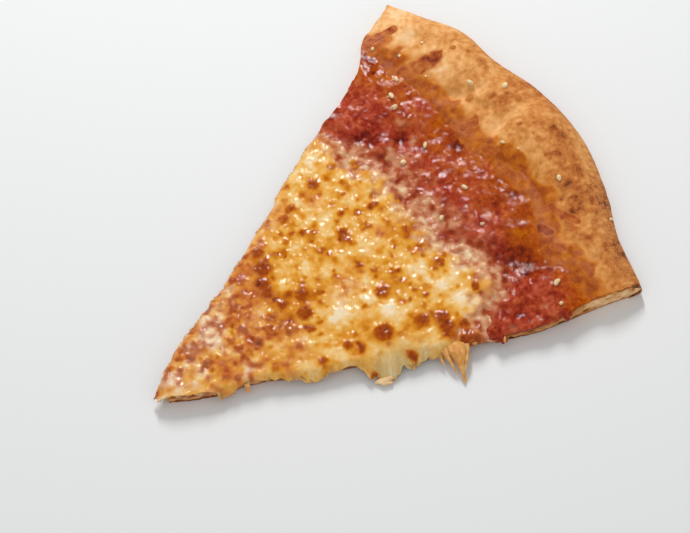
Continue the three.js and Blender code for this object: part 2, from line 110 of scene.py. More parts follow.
# [radius, reach, drop] of what hangs over the cuts
RIGHT_LIP = [
    [0, 0.3, 0.8], [20, 0.2, 0.6], [24, 0.8, 1], [29, 2.6, 3.6], [34, 1, 1.3], [54, 1.8, 2.6],
    [66, 3, 4.4], [74, 1.4, 1.8], [81, 1.6, 2], [88, 8, 5.7], [95, 7.6, 5.7], [104, 4.6, 4.4],
    [111, 3, 3], [119, 3.4, 3.6], [127, 1.6, 2],
]
LEFT_LIP = [[0, 1.2, 1.4], [70, 1.2, 1.8], [130, 1.4, 1.8]]
SAUCE_LIP = [
    [127, -SAUCE_INSET, 0], [133, 1, 1.2], [141, 0.2, 0.2], [153, 0.2, 0.2], [161, 1, 1.3],
    [168, -SAUCE_INSET, 0],
]

# Forms: [x, y, radius, rise]
DOUGH_FORMS = [
    [2, 185, 17, 1.5], [-41, 187, 13, 1.3], [-21, 189, 8, 1.1], [-70, 188, 11, 0.9], [29, 181, 13, 0.9],
    [55, 171, 13, 1], [72, 168, 9, 0.6], [-54, 178, 8, 0.7], [-72, 176, 6, -1.2], [45, 150, 9, -1.4],
]
# Creases: [x, y, x, y, width, depth]
DOUGH_CREASES = [
    [-35, 172, -27, 187, 3, 1], [-10, 201, -9, 178, 3, 1.4], [-66, 180, -63, 168, 3, 1.4],
    [-33, 176, -19, 182, 2.6, 0.9], [14, 176, 46, 166, 3, 0.5], [-47, 180, -38, 174, 3, 0.8],
]
SAUCE_FORMS = [
    [-53, 144, 11, 1.1], [-62, 154, 7, 0.5], [61, 146, 10, 1.7], [58, 124, 6, 0.9], [-19, 146, 5, 0.8],
    [4, 143, 7, 0.9], [22, 144, 7, 0.8], [33, 141, 5, 0.6], [-31, 139, 4, 1], [-33, 148, 3.4, -0.8],
    [-38, 154, 3.4, 0.7], [-9, 144, 3.4, 0.9], [45, 148, 8, -0.5], [-40, 138, 5, -0.4], [16, 164, 6, 0.4],
]
# Waves: [wavelength, height, seed]
RIM_WAVES = [[17, 0.7, 3], [9, 0.6, 5], [4.4, 0.16, 9]]
SAUCE_WAVES = [[9, 0.45, 7], [5, 0.3, 11]]
CHEESE_WAVES = [[15, 0.22, 13], [6.5, 0.04, 17]]
CUT_WAVES = [[13, 0.7, 19], [5, 0.4, 23], [2.1, 0.2, 29]]
EDGE_WAVES = [[9, 1.6, 31], [4.5, 0.7, 37]]
FINE_EDGE_WAVES = [[2.6, 0.8, 41], [1.4, 0.35, 43]]

# ---- What browned, ran or stayed pale: [x, y, radius, strength] ----
BLISTERS = [
    [35, 86, 4.2, 1], [20, 97, 3.5, 0.8], [4, 97.5, 1.8, 0.85], [40, 101, 3.3, 0.9], [44, 108, 3, 1],
    [47.5, 107.5, 3.3, 1], [51, 105.5, 2.6, 1], [52, 113, 2.4, 0.95], [56, 112, 2.4, 0.95],
    [60, 112, 3, 1.1], [57.5, 109, 2.6, 1.05], [-37.5, 106.5, 3.4, 0.75], [-19, 107, 1.9, 0.65],
    [-12, 102, 2.2, 0.7], [-8, 101, 2.3, 0.7], [-34, 92.5, 2.8, 0.75], [-32, 88.5, 2, 0.65],
    [-19, 93, 2, 0.6], [-10.5, 90.5, 2.4, 0.6], [0, 88.5, 1.6, 0.6], [20.5, 88, 1.6, 0.6],
    [0, 72, 3, 0.8], [8, 68, 4, 0.85], [-19, 67, 4.4, 1], [-13.5, 62.5, 3.6, 1], [-8.5, 62, 2.8, 1],
    [-1, 63, 2.4, 0.9], [-26, 70, 3, 0.9], [-20, 57, 2.6, 0.8], [15, 65.5, 1.8, 0.7],
    [11.5, 61, 1.8, 0.75], [29.5, 60.5, 2.2, 0.7], [30, 72, 2.3, 0.7], [35, 75.5, 2.2, 0.65],
    [5, 53, 2.2, 1], [0, 56, 2.4, 0.75], [7, 57, 1.9, 0.7], [7, 46, 2.8, 0.95], [7, 40.5, 2.4, 0.85],
    [-6, 43, 2.6, 1], [-1, 38, 1.8, 0.8], [21, 44, 2, 0.65], [21, 48, 1.8, 0.6], [2, 29.5, 1.4, 0.7],
    [5, 24.5, 1.3, 0.65], [11, 27, 2.8, 0.7], [-7, 19, 2, 0.6], [-15, 54, 1.4, 0.7], [-35, 126, 2.6, 0.6],
    [4, 122, 2.8, 0.65], [24, 123, 2.4, 0.65], [25, 119.5, 1.7, 0.6], [17, 120, 1.4, 0.6],
    [14, 117, 1.4, 0.55], [41.5, 127, 2.3, 0.8], [22, 126.5, 1.7, 0.6], [32.5, 110, 1.5, 0.6],
    [15, 106, 1.9, 0.6], [24, 108, 1.2, 0.5], [30, 103, 1.5, 0.55], [-14, 120, 1.8, 0.65],
    [-20, 116, 1, 0.55], [-31, 116, 1.2, 0.55], [-26.5, 113, 1.5, 0.6], [-15, 112.5, 1.2, 0.55],
    [-7, 112, 1.8, 0.6], [-3, 118, 2.4, 0.5], [-39, 119, 0.9, 0.5], [-26, 122, 0.9, 0.5],
    [-30, 127, 1, 0.5], [-10, 128, 1.4, 0.5], [46.4, 72.8, 2.2, 0.7], [-24.5, 86, 1.6, 0.65],
    [49.5, 88.8, 2.6, 0.85], [9, 59, 1.6, 0.8],
]
# Cheese that stayed white, thick and milky
PALE_PATCHES = [
    [45, 120, 6, 1], [32, 128, 5, 0.8], [42, 139, 4, 1], [27, 141, 3, 0.8], [-16, 42, 3.5, 0.8],
    [-8, 31.5, 4.5, 0.9], [4, 19, 5, 0.5], [4, 5.6, 4, 0.6], [2, 51.4, 2.2, 1], [-7.5, 69, 3, 0.8],
    [-24, 52, 3, 0.7], [-27, 67, 3, 0.6], [13, 36, 4, 0.6], [16, 131, 3.5, 0.9], [28, 92, 5.5, 0.9],
    [-47, 113, 5, 1], [-13, 36, 4, 0.8], [-5, 30, 3.5, 0.6], [-22, 133, 4.5, 0.9], [-6, 131, 4.5, 0.7],
    [15, 76, 5, 0.6], [20, 80, 5, 0.7], [-17, 97, 4, 0.4], [33, 117, 5, 0.8], [33, 99, 3.5, 0.5],
    [-5, 108, 4.5, 0.5], [0, 103, 3.5, 0.5], [47, 97, 4, 0.5], [30, 66, 3.5, 0.5], [35, 54, 4.5, 0.5],
    [-1, 8, 4, 0.6], [-36, 97, 3.5, 0.7], [20, 112, 4, 0.6], [-26, 104, 4, 0.3], [-42, 104, 3, 0.7],
    [19, 91, 2.6, 0.9], [0, 84, 4, 0.3], [52, 100, 4, 0.5],
]
# Golden, oily pools round and between the blisters
GOLDEN_PATCHES = [
    [3, 56, 9, 0.7], [-12, 50, 6, 0.6], [18, 46, 5, 0.8], [11, 27, 6, 0.7], [8, 40, 7, 0.5],
    [-3, 74, 7, 0.5], [5, 80, 5, 0.5], [33, 82, 5, 0.4], [30, 73, 6, 0.4], [20, 100, 5, 0.5],
    [-9, 101, 7, 0.4], [-18, 90, 7, 0.3], [4, 122, 7, 0.5], [23, 122, 5, 0.4], [-15, 118, 8, 0.3],
    [-35, 126, 5, 0.5], [-37, 106, 5, 0.4], [12, 106, 6, 0.3], [-13, 62, 8, 0.5], [48, 108, 8, 0.4],
    [40, 90, 5, 0.3], [0, 18, 6, 0.3], [38, 125, 5, 0.3], [56, 113, 5, 0.4], [42.5, 70.5, 3.4, 1.6],
]
# Cheese so thin that the sauce tints it
BLUSH_PATCHES = [
    [-9, 46, 5, 0.9], [-15, 48, 5, 0.5], [-6.4, 19.8, 4, 0.8], [-5, 12, 3.5, 0.7], [4, 26, 4, 0.4],
    [-27, 62, 5, 0.7], [-30, 72, 4, 0.5], [-35, 82, 4, 0.45], [8, 90, 5, 0.5], [10, 83, 4, 0.4],
    [-31, 101, 4.5, 0.4], [20, 57, 4, 0.6], [12, 60, 4, 0.4], [-3, 114, 3, 0.4], [54, 121, 3.5, 0.9],
    [57, 116, 4, 0.8], [12, 33, 6, 0.5], [-20, 57, 5, 0.7], [3, 45, 5, 0.4], [-9, 55, 5, 0.4],
    [-3, 24, 5, 0.3], [-36, 90, 3, 0.4], [60, 119, 4, 0.9], [3, 50, 8, 0.3], [-18, 40, 4, 0.4],
    [66, 121, 5, 1.1], [62, 127, 5, 1.1], [-10, 38, 3, 0.5], [-6, 26, 3.5, 0.4], [-12, 28, 3, 0.4],
    [0, 36, 3, 0.5], [-12, 56, 4, 0.4],
]
# The stretched curtain, where the cheese is clear and greenish
CLEAR_PATCHES = [[48, 82, 8, 1], [50, 92, 6, 0.7], [47, 73, 5, 0.7], [57, 104, 5, 0.4], [38, 66, 5, 0.3]]

# Sauce: dark wet pockets, with painted shade in their sunk hollows, milky lumps and oil
DARK_SHADED_POCKETS = [
    [45, 148, 7, 1], [39, 147, 4, 0.9], [51, 151, 4, 0.7], [-33, 148, 3, 1], [-40, 138, 5, 0.9],
    [18, 156.5, 3, 0.7], [-69, 163, 4, 0.9], [-17, 163.5, 4, 0.9], [20, 134.5, 1.3, 1],
    [51, 160.8, 1.6, 1.2], [54.5, 160.3, 1.6, 1.2], [-73, 161, 3, 1], [-14, 163, 2.5, 1.1],
    [19, 165.5, 2, 1], [36, 142, 2.5, 0.9], [62, 133, 4, 0.8], [-45, 132, 4, 0.6], [-63, 158, 1.2, 1],
    [-45, 148, 3.5, 0.4], [-22, 151, 2.5, 0.6], [-3, 148, 3, 0.4], [58, 128, 3, 0.6], [30, 145, 3, 0.7],
]
MILKY_LUMPS = [
    [-38, 153, 2.8, 1], [-28, 150, 2.4, 0.9], [-33, 143.5, 2, 0.9], [-31, 139, 3, 0.8],
    [-9, 144.5, 2.6, 1], [-19, 146, 2.5, 0.9], [-14, 141, 3, 0.8], [26, 141, 2.6, 0.8], [41, 139, 3.4, 1],
    [8, 136.5, 1.6, 1], [21, 147, 1.3, 0.8], [22, 150, 1.4, 0.7], [12, 147, 3, 0.5], [4, 141, 3.5, 0.5],
    [50, 133, 3, 0.7], [46, 136, 2.6, 0.9], [-24, 143, 3, 0.6], [33, 140, 2, 0.7], [14, 139, 2.4, 0.6],
    [55, 129, 2.4, 0.5], [-44, 146, 2.4, 0.4], [66, 125, 3, 0.4], [-48, 157, 3, 0.4], [-33, 157, 4, 0.3],
]
RED_PATCHES = [
    [-53, 144, 9, 1], [-58, 150, 6, 0.6], [61, 147, 10, 1], [66, 141, 7, 0.8], [57, 138, 6, 0.8],
    [-42, 160, 9, 0.8], [2, 161, 7, 0.7], [-12, 158, 6, 0.6], [-36, 166, 6, 0.5], [63, 124, 5, 0.8],
    [-54, 132, 6, 0.9], [66, 132, 6, 0.7], [22, 158, 5, 0.5], [50, 141, 5, 0.5],
]

# Stains of sauce that baked onto the rim: [x, y, x, y, half width, strength]
SMEARS = [
    [-76.8, 165, -77, 171, 2.4, 0.9], [-77, 171, -75.6, 178, 2.2, 1], [-54.7, 168, -52, 176, 4.2, 0.8],
    [-52.6, 174, -51.2, 180.6, 3.8, 0.95], [-51.6, 180, -50.8, 182.6, 2.4, 1.15],
    [-22.1, 167, -18.5, 175, 2.4, 0.8], [-19, 170, -17.6, 174.6, 1.8, 1],
    [-5.8, 169.4, -1.4, 171.8, 2, 0.9], [6.7, 168.2, 13.2, 168.4, 3.4, 0.75],
    [12, 171, 15, 172, 1.6, 0.9], [25.3, 165.6, 31.5, 168, 3, 0.6], [31.5, 167, 34.5, 172, 2.2, 0.8],
    [34.5, 171.8, 40, 173, 1.9, 0.9], [40, 173, 45.8, 175.6, 1.8, 1], [37.6, 162.4, 41.4, 164, 2.5, 1.1],
    [48.2, 162, 51.3, 163.4, 1.9, 1], [56.5, 166, 57.3, 166.2, 1.4, 0.9],
    [47.2, 171.6, 47.8, 172.2, 1.3, 0.8], [53.5, 160, 58, 159, 0.6, 1.3],
]
# Brown pits and spots of the rim: [x, y, radius, strength]
RIM_SPOTS = [
    [8, 195, 2.4, 0.8], [11.5, 196, 2.6, 0.75], [18.2, 188.6, 1.9, 0.8], [15.4, 184.6, 1.2, 0.7],
    [5, 187, 0.9, 0.6], [-2.6, 185.5, 1.2, 0.8], [42.7, 186.2, 1.3, 0.8], [38.1, 180.7, 0.9, 0.7],
    [45.1, 181.1, 1.5, 0.7], [34.3, 177.7, 1.5, 0.7], [19.3, 176.7, 1.1, 0.7], [6.1, 172.1, 0.9, 0.7],
    [-50.3, 189.2, 1.5, 0.8], [-27.7, 179.9, 1.8, 0.7], [83, 175, 2.6, 1.6], [85, 177.6, 3, 2.6],
    [78, 160, 1.2, 1.2], [-18, 202, 3, 0.4], [-12, 204, 3, 0.4], [-22, 199, 2.5, 0.4],
]
RIM_TOASTED = [
    [-20, 187, 8, 0.5], [0, 183, 14, 0.25], [-16, 200, 8, 0.35], [25, 175, 12, 0.2], [50, 180, 14, 0.25],
    [-42, 200, 12, 0.2], [72, 172, 10, 0.25], [-26, 203, 8, 0.3], [30, 190, 10, 0.15],
]
# Paler patches of the rim: its creases, and its left end, where the paleness is painted light on the end
# that faces the lamp
RIM_PALE = [
    [-80, 186, 8, 0.7], [-68, 176, 5, 0.7], [-31, 178, 5, 0.6], [-11, 182, 4, 0.6], [-44, 180, 6, 0.4],
    [-62, 190, 8, 0.4], [20, 174, 6, 0.5], [54, 175, 6, 0.3], [-9, 191, 4, 0.4], [-28, 190, 4, 0.3],
]

# Grated cheese that baked dry: [x, y, radius]
GRATED_ON_RIM = [
    [-32.4, 184.2, 1.4], [26.8, 181.9, 1.2], [-60.6, 181.6, 0.8], [-21.7, 193.8, 1.1], [-1.2, 176, 1],
    [-47.5, 173, 0.6], [-63.2, 171.6, 0.8], [-73.6, 165.6, 0.8], [5.5, 178.5, 0.5], [52.2, 187.4, 0.7],
]
GRATED_ON_SAUCE = [
    [-49.8, 156.9, 1.2], [-44.8, 154.5, 1.5], [-54.7, 163.3, 1], [-23, 153, 1.2], [3, 152.5, 1.3],
    [62.1, 151.4, 1.3], [70, 147, 0.8], [21, 147, 0.9], [-22, 141, 1.2], [8, 136.5, 1.3],
]

# Pulled cheese and drips: [x, y, z, half width] along each
CHEESE_STRANDS = [
    [
        [54.6, 106, 4.7, 2.6], [58, 104.6, 5.2, 3.9], [61.6, 103, 4.6, 2.7], [65.4, 100.9, 3.1, 1],
        [69.8, 98.4, 1.1, 0.22],
    ],
    [
        [57.4, 109.4, 5.4, 0.7], [60.6, 107, 5.4, 1.1], [64, 103.9, 4.3, 0.7], [66.4, 101.2, 2.9, 0.5],
        [69.9, 98.9, 1, 0.14],
    ],
    [
        [52.4, 102.4, 4.8, 1.4], [55, 100.8, 4.9, 1.5], [58.8, 99.6, 4.1, 0.8], [62.8, 98.8, 2.9, 0.4],
        [65.6, 98.3, 1.8, 0.1],
    ],
    [[51.4, 99.2, 5.4, 1.2], [55.6, 97.6, 4, 0.6], [58.6, 96.9, 3, 0.3], [60, 96.6, 2.4, 0.1]],
    [[17.4, 32, 5, 1.2], [18.6, 31.4, 3.8, 0.9], [19.5, 30.9, 2.2, 0.7]],
    [[12.4, 25.4, 4.6, 1.8], [14.4, 24, 3.4, 1.5], [15.4, 23, 2.2, 0.9]],
    [[48, 90.4, 4.6, 1.4], [50.4, 88.8, 3.4, 1.1], [51.4, 88, 2.4, 0.6]],
    [[65.6, 121.8, 5.9, 0.4], [66.6, 121.1, 5.4, 0.6], [67.4, 120.5, 4.7, 0.3]],
]
# Torn fringes of thin threads: [radius, threads, half width, pull outwards, drop, gather]
RIGHT_FRINGES = [
    [25.6, 30, 2.2, 1.8, 1.6, 0.2], [37, 7, 1, 1.1, 1.8, 0.2], [45, 9, 1.2, 1.2, 1.8, 0.2],
    [57, 24, 4.5, 0.9, 1.2, 0], [68, 20, 3.5, 0.9, 1, 0], [90, 50, 5.5, 1.2, 0.6, 0],
    [102, 16, 2.4, 1.6, 1.5, 0.2], [119, 46, 4.2, 9, 3.4, 0.75], [115, 24, 4, 3.4, 2, 0.3],
    [113, 16, 2.2, 3, 2.4, 0.2], [127, 10, 2, 1, 1.2, 0.1],
]
LEFT_FRINGES = [
    [14, 20, 5, 0.7, 1, 0], [32, 30, 7, 0.8, 1, 0], [48, 24, 4, 1, 1.4, 0], [66, 34, 6, 0.8, 1.2, 0],
    [88, 30, 7, 0.7, 1, 0], [110, 34, 9, 0.8, 1.2, 0], [126, 16, 4, 0.8, 1, 0],
]
# A scrap of bare crumb at the foot of the stretched cheese
TORN_CRUMB = [
    [[49.8, 78.2, 2.2, 1.1], [48.9, 74.8, 1.7, 1.5], [47.4, 71.8, 1.1, 0.7]],
    [[51.6, 77, 1.5, 0.6], [49.8, 74, 1.6, 1.1], [47, 72.6, 1.1, 0.4]],
]
SAUCE_STRANDS = [
    [[60.8, 121.8, 6.1, 2.6], [64.4, 120.9, 5.9, 1.9], [66.4, 120.3, 4.8, 1.1], [67.2, 120.1, 3.8, 0.4]],
    [[72.5, 146, 8.2, 2.2], [74.8, 145.5, 7.6, 1.6], [75.9, 145.3, 6.6, 0.9], [76.3, 145.2, 5.6, 0.3]],
    [[73.4, 147.6, 8, 1.2], [75.2, 147.4, 7.4, 0.8], [76, 147.2, 6.8, 0.3]],
]

# ---- Small relief: [wavelength, height, seed] ----
SAUCE_LUMPS = [[4.6, 0.3, 47], [2.4, 0.16, 53], [1.3, 0.05, 59]]
PULP_GRAINS = [[2.6, 0.12, 331], [1.5, 0.07, 337]]
CURD_GRAINS = [[3.4, 0.5, 347], [1.9, 0.36, 353], [1.3, 0.12, 359]]
CHEESE_RIPPLES = [[3.3, 0.2, 67], [1.9, 0.12, 71], [1.3, 0.04, 73]]
CHEESE_TEAR = [[9, 3.4, 283], [4.2, 2, 293]]
LIP_TEAR = [[6, 0.34, 301], [2.7, 0.38, 307], [1.3, 0.14, 311]]  # as a share of the reach
LIP_FOLDS = [[2.8, 0.2, 313], [1.5, 0.1, 317]]  # as a share of the drop
CRUMB_HOLES = [[3.6, 0.6, 137], [1.6, 0.4, 139], [0.8, 0.16, 149]]
CRUST_WRINKLES = [[4.2, 0.14, 151], [2.1, 0.09, 157], [1.1, 0.05, 163], [0.6, 0.025, 167]]
DRAWN_BEARING = 38  # the way the melted cheese was drawn out
DRAWN_NARROW = 1.6
BLISTER_RISE = 0.12  # of a blister's radius

# ---- Uneven looks: [wavelength, strength, seed] ----
CURD_PATCHES = [[8, 0.5, 263], [4, 0.35, 269]]  # where there is more or less of it
CURD_CLOUDS = [[6, 0.34, 359], [3.2, 0.32, 361]]  # where it is paler
CHEESE_MOTTLE = [[7, 1, 97], [3.2, 0.7, 101]]
BLUSH_FLECKS = [[3.3, 0.8, 113], [1.7, 0.3, 117]]
LIP_FLECKS = [[2.4, 0.13, 197], [1.1, 0.1, 199]]
BLOTCHES = [[4.6, 5, 203], [2.2, 2.4, 205]]
SAUCE_MOTTLE = [[4.4, 0.6, 47], [2.1, 0.5, 53]]
DOUGH_MOTTLE = [[9, 0.13, 211], [3.4, 0.13, 223]]
SMEAR_MOTTLE = [[3, 0.22, 231], [1.5, 0.2, 229]]
STAIN_EDGE = [[7, 4, 233], [3, 2.4, 239]]
STAIN_MOTTLE = [[3, 0.2, 243], [1.4, 0.14, 247]]
CRUMB_MOTTLE = [[4, 0.22, 259], [1.7, 0.4, 257]]

# ---- How round things get uneven outlines: [wavelength, shift, seed] of each step ----
TEAR_WANDER = [[6, 1.5, 281]]
CURD_WANDER = [[4, 0.6, 277]]
PULP_WANDER = [[3.1, 0.8, 61], [1.7, 0.5, 63]]
SAUCE_WANDER = [[4, 1.3, 173]]
BLISTER_WANDER = [[3.4, 0.75, 79], [1.7, 0.3, 83]]
CHEESE_WANDER = [[5, 1.6, 89]]
RIPPLE_WANDER = [[4, 1, 127]]
DOUGH_WANDER = [[5, 1.5, 193]]
PIT_WANDER = [[4, 0.9, 197], [1.6, 0.3, 199]]

# ---- Small browned spots strewn over the cheese ----
SPOT_SPACING = 4.7
SPOT_X = (-64, 66)
SPOT_Y = (4, 140)
SPOT_RADII = (0.7, 1.7)
SPOT_STRENGTH = (0.3, 1.0)

# ---- Curd that ran into the sauce ----
CURD_OUT = 14  # how far past the cheese's edge it reaches
CURD_IN = 9
CURD_BEARINGS = (26, 17)  # from the middle line, none and full
CURD_PALER = (7, -3)  # past the cheese's edge, where it starts to be paler and is palest
THIN_CHEESE = (-12, -3)  # past the cheese's edge, where the sauce starts to show and shows fully
UNDER_CHEESE = (-12, -24)  # where what lies under the cheese starts to be curd and is

# ---- Where looks start and are full ----
TIP_ZONE = (70, 40)  # radii, towards the cheese at the tip
LEFT_STRIP = (-7, -1)  # past the left cut, where sauce ran up between the cheese's clots
LEFT_STRIP_RADII = (108, 92)
OUTER_BAND = (22, 12)  # inside the cheese's edge
OVER_CUT = (-0.6, 1.2)  # past the cut, where a lip looks stretched
PULP_IN = (2, 16)  # inside the sauce's edge, as the next two
DRIED_IN = (9, 0)
OILY_IN = (27, 9)
FLANK_IN = (9, 2)  # inside the rim's edge
FLANK_BEARINGS = (-2, 8)
# bearings over which the rim darkens: painted light leaves its left end pale where it faces the lamp,
# painted shade darkens its right side
LIGHT_AND_SHADE_BEARINGS = [(-22, -12), (-5, 22)]
STAIN_REACH = [(8, 0), (13, 4)]  # past the sauce's edge, of the oil's strong and weak stain
WRINKLES_FROM = (-12, -4)  # past the sauce's edge
CRUMB_SOAKED = (178, 168)  # radii where the cut crumb starts to be under sauce and is

# ---- Lips, walls and crumb ----
ROUND_IN = 1.1  # how far inside the cut a lip starts to bend down
LIP_BEND = 1.7  # power of that bend
FOLD_TURN = 9  # past the cut, over which a fold changes
LEAST_REACH = 0.02  # of a lip's cells, so that none is empty
LEAST_TORN = 0.3  # of a lip's reach, what a tear leaves
LEAST_THICK = 0.3  # of a topping
CHEESE_PAST = 8  # how far past the middle of its torn edge the cheese's sheet goes on
SAUCE_PAST = 2  # the same for the sauce
CORNERS = 4  # a loop's places run from 0 to 4, one unit for each side
LOOP_GAP = 0.999  # ends a side's places just before the next corner
CRUMB_LEVELS = np.array([0.05, 0.14, 0.24, 0.34, 0.44, 0.54, 0.64, 0.74, 0.84, 0.93])

# ---- Cells of the skins ----
FINE_CELL = 0.42
HIDDEN_CELL = 4
EDGE_CELL = 0.5
SAUCE_HIDDEN_CELL = 0.8
LIP_STEPS = np.array([0.12, 0.25, 0.4, 0.55, 0.7, 0.85, 1])
# Lengths along the slice that set how many rows a stretch gets
DOUGH_HIDDEN_TO = 165
DOUGH_SEEN_LENGTH = 46
SAUCE_HIDDEN_TO = 125
SAUCE_SEEN_LENGTH = 50
CHEESE_LENGTH = 142

# ---- Cornmeal, strands and threads ----
MEAL_COUNT = 700
MEAL_RADII = (0.1, 0.22)
MEAL_BEARINGS = (-24, 14, 25.5)  # least, most usual and largest
MEAL_INWARDS = (1.2, 10)  # from the rim
STRAND_FLAT = 0.45  # height of a strand over its width
STRAND_RINGS = 34
STRAND_SIDES = 44
THREAD_ROOT = 0.9  # how far a thread starts inside the lip
THREAD_RINGS = 9
THREAD_SIDES = 6
THREAD_HALF = (0.14, 0.34)

# ---- Light, table and camera ----
BRIGHT_SIDE = (0.73, -0.45, 0.51)  # where the room is brightest
ROOM_GLOW = {"From Min": -0.7, "From Max": 0.9, "To Min": 0.03, "To Max": 0.78}
# Lamps: name, place, size in metres and power in watts
LAMPS = [
    ("window", (-1.3, 0.1, 1.1), (2.2, 1.8), 3),
    ("softbox", (-0.86, 0.56, 0.88), (0.09, 0.5), 11.5),
]
TABLE_HALF = 3
# The camera: angles in degrees, places in metres, lens and sensor in millimetres
VIEW_AZIMUTH = 58.55
VIEW_ELEVATION = 59.2
VIEW_ROLL = 7.39
VIEW_DISTANCE = 1.2
VIEW_TARGET = (0.000681, -0.007589, 0)
LENS = 157.08
SENSOR = 36

# ---- Noise ----
# Large odd numbers that mix a whole-number place into random bits
PRIMES = (374761393, 668265263, 2246822519)
SEED_PRIME = 1274126177
LARGEST = 0xFFFFFFFF  # of 32 bits
AXIS_SEED = 1000  # added for each axis, so that their slopes differ
RIPPLE_FULL = 1.9  # brings a ripple's crests to about 1
GRAIN_SHIFT = 0.42  # of a cell, how far a grain's middle may lie from the cell's

LEFT, RIGHT = -1, 1
FACTOR, FIRST, SECOND, BLEND = 0, 6, 7, 2  # sockets of a colour mix


# ---- Small maths ----
def smooth(value, low, high):
    share = np.clip((value - low) / (high - low), 0, 1)
    return share * share * (3 - 2 * share)


def mix(first, second, share):
    return first + (second - first) * share


def curve(handles, at, column=1):
    """A smooth curve through [position, value, ...] handles, level past both ends."""
    table = np.array(handles, float)
    spots, values = table[:, 0], table[:, column]
    at = np.clip(at, spots[0], spots[-1])
    slopes = np.zeros(len(spots))
    slopes[1:-1] = (values[2:] - values[:-2]) / (spots[2:] - spots[:-2])
    i = np.clip(np.searchsorted(spots, at, side="right") - 1, 0, len(spots) - 2)
    span = spots[i + 1] - spots[i]
    t = (at - spots[i]) / span
    back = 1 - t
    return (
        values[i] * back * back * (1 + 2 * t)
        + values[i + 1] * t * t * (3 - 2 * t)
        + span * (slopes[i] * t * back * back - slopes[i + 1] * t * t * back)
    )


def scatter(cells, seed):
    """A random value from -1 to 1 for whole-number places, the same in every run."""
    mixed = np.uint32(seed * SEED_PRIME & LARGEST)
    for cell, prime in zip(cells, PRIMES):
        mixed = mixed ^ (cell.astype(np.int64).astype(np.uint32) * np.uint32(prime))
    mixed = (mixed ^ (mixed >> np.uint32(13))) * np.uint32(SEED_PRIME)
    return 2 * (mixed ^ (mixed >> np.uint32(16))).astype(float) / LARGEST - 1


def corners_round(at, size):
    """The corners of the cell round each place: where each is, how far from it, and its weight."""
    at = np.broadcast_arrays(*[np.asarray(part, float) / size for part in at])
    cells = [np.floor(part) for part in at]
    offsets = [part - cell for part, cell in zip(at, cells)]
    shares = [smooth(offset, 0, 1) for offset in offsets]
    for corner in itertools.product((0, 1), repeat=len(at)):
        weight = 1
        for share, step in zip(shares, corner):
            weight = weight * (share if step else 1 - share)
        spot = [cell + step for cell, step in zip(cells, corner)]
        yield spot, [offset - step for offset, step in zip(offsets, corner)], weight


def wave(at, size, seed):
    """Rolling ground of one wavelength, from -1 to 1, over places of two or three coordinates."""
    return sum(weight * scatter(spot, seed) for spot, _, weight in corners_round(at, size))


def ripple(at, size, seed):
    """Rounder small ground of one wavelength, about -1 to 1."""
    total = 0
    for spot, away, weight in corners_round(at, size):
        slopes = [scatter(spot, seed + AXIS_SEED * axis) * part for axis, part in enumerate(away)]
        total = total + weight * sum(slopes)
    return RIPPLE_FULL * total


def waves(table, at):
    return sum(height * wave(at, size, seed) for size, height, seed in table)


def ripples(table, at):
    return sum(height * ripple(at, size, seed) for size, height, seed in table)


def granules(x, y, size, seed):
    """Rounded grains packed side by side: the height of each place, up to 1, and a value of its own
    for each grain, from -1 to 1."""
    column, row = np.floor(x / size), np.floor(y / size)
    nearest, value = np.full_like(x, 9.0), np.zeros_like(x)
    for across, up in itertools.product((-1, 0, 1), repeat=2):
        cell = (column + across, row + up)
        middle = [part + 0.5 + GRAIN_SHIFT * scatter(cell, seed + k) for k, part in enumerate(cell)]
        away = (x / size - middle[0]) ** 2 + (y / size - middle[1]) ** 2
        closer = away < nearest
        nearest = np.where(closer, away, nearest)
        value = np.where(closer, scatter(cell, seed + 2), value)
    return 1 - 2 * nearest, value


def forms(table, x, y):
    """The sum of soft round forms."""
    total = np.zeros_like(x)
    for cx, cy, radius, rise in table:
        total += rise * np.exp(-((x - cx) ** 2 + (y - cy) ** 2) / radius**2)
    return total


def off_line(x, y, ax, ay, bx, by):
    """How far places are from the line between two points."""
    dx, dy = bx - ax, by - ay
    along = np.clip(((x - ax) * dx + (y - ay) * dy) / (dx * dx + dy * dy), 0, 1)
    return np.hypot(x - ax - along * dx, y - ay - along * dy)


def creases(table, x, y):
    total = np.zeros_like(x)
    for *line, width, depth in table:
        total -= depth * np.exp(-((off_line(x, y, *line) / width) ** 2))
    return total


def wander(table, x, y):
    """Moves places about, so that round things get uneven outlines."""
    for size, shift, seed in table:
        x, y = x + shift * ripple((x, y), size, seed), y + shift * ripple((x, y), size, seed + 1)
    return x, y


def drawn_out(x, y):
    """Places narrowed across one direction, so that a relief there gets longer along the other."""
    turned = math.radians(DRAWN_BEARING)
    across = x * math.sin(turned) + y * math.cos(turned)
    along = y * math.sin(turned) - x * math.cos(turned)
    return across * DRAWN_NARROW, along


# ---- The slice's plan ----
def cut_bearing(side, radius, reach=0):
    shift = curve(LEFT_CUT if side == LEFT else RIGHT_CUT, radius) + waves(CUT_WAVES, (radius, side))
    return side * (HALF_ANGLE + np.degrees((shift + reach) / radius))


def place(radius, bearing):
    return radius * np.sin(np.radians(bearing)), radius * np.cos(np.radians(bearing))


def polar(x, y):
    return np.hypot(x, y), np.degrees(np.arctan2(x, y))


def rim_radius(bearing):
    return curve(RIM_EDGE, bearing)


def open_edge(handles, bearing, seed):
    radius = curve(handles, bearing)
    return radius + waves(EDGE_WAVES, (np.radians(bearing) * radius, seed))


def cheese_radius(bearing):
    return open_edge(CHEESE_EDGE, bearing, 1)


def sauce_radius(bearing):
    return open_edge(SAUCE_EDGE, bearing, 2)


def past_cut(radius, bearing):
    """How far outside the nearer cut a place is."""
    left, right = (
        np.radians(side * bearing - np.abs(cut_bearing(side, radius))) * radius for side in (LEFT, RIGHT)
    )
    return np.maximum(left, right)


def past_edge(x, y):
    """How far outside the torn open edge of the cheese a place is."""
    radius, bearing = polar(x, y)
    return radius - cheese_radius(bearing) - ripples(CHEESE_TEAR, wander(TEAR_WANDER, x, y))


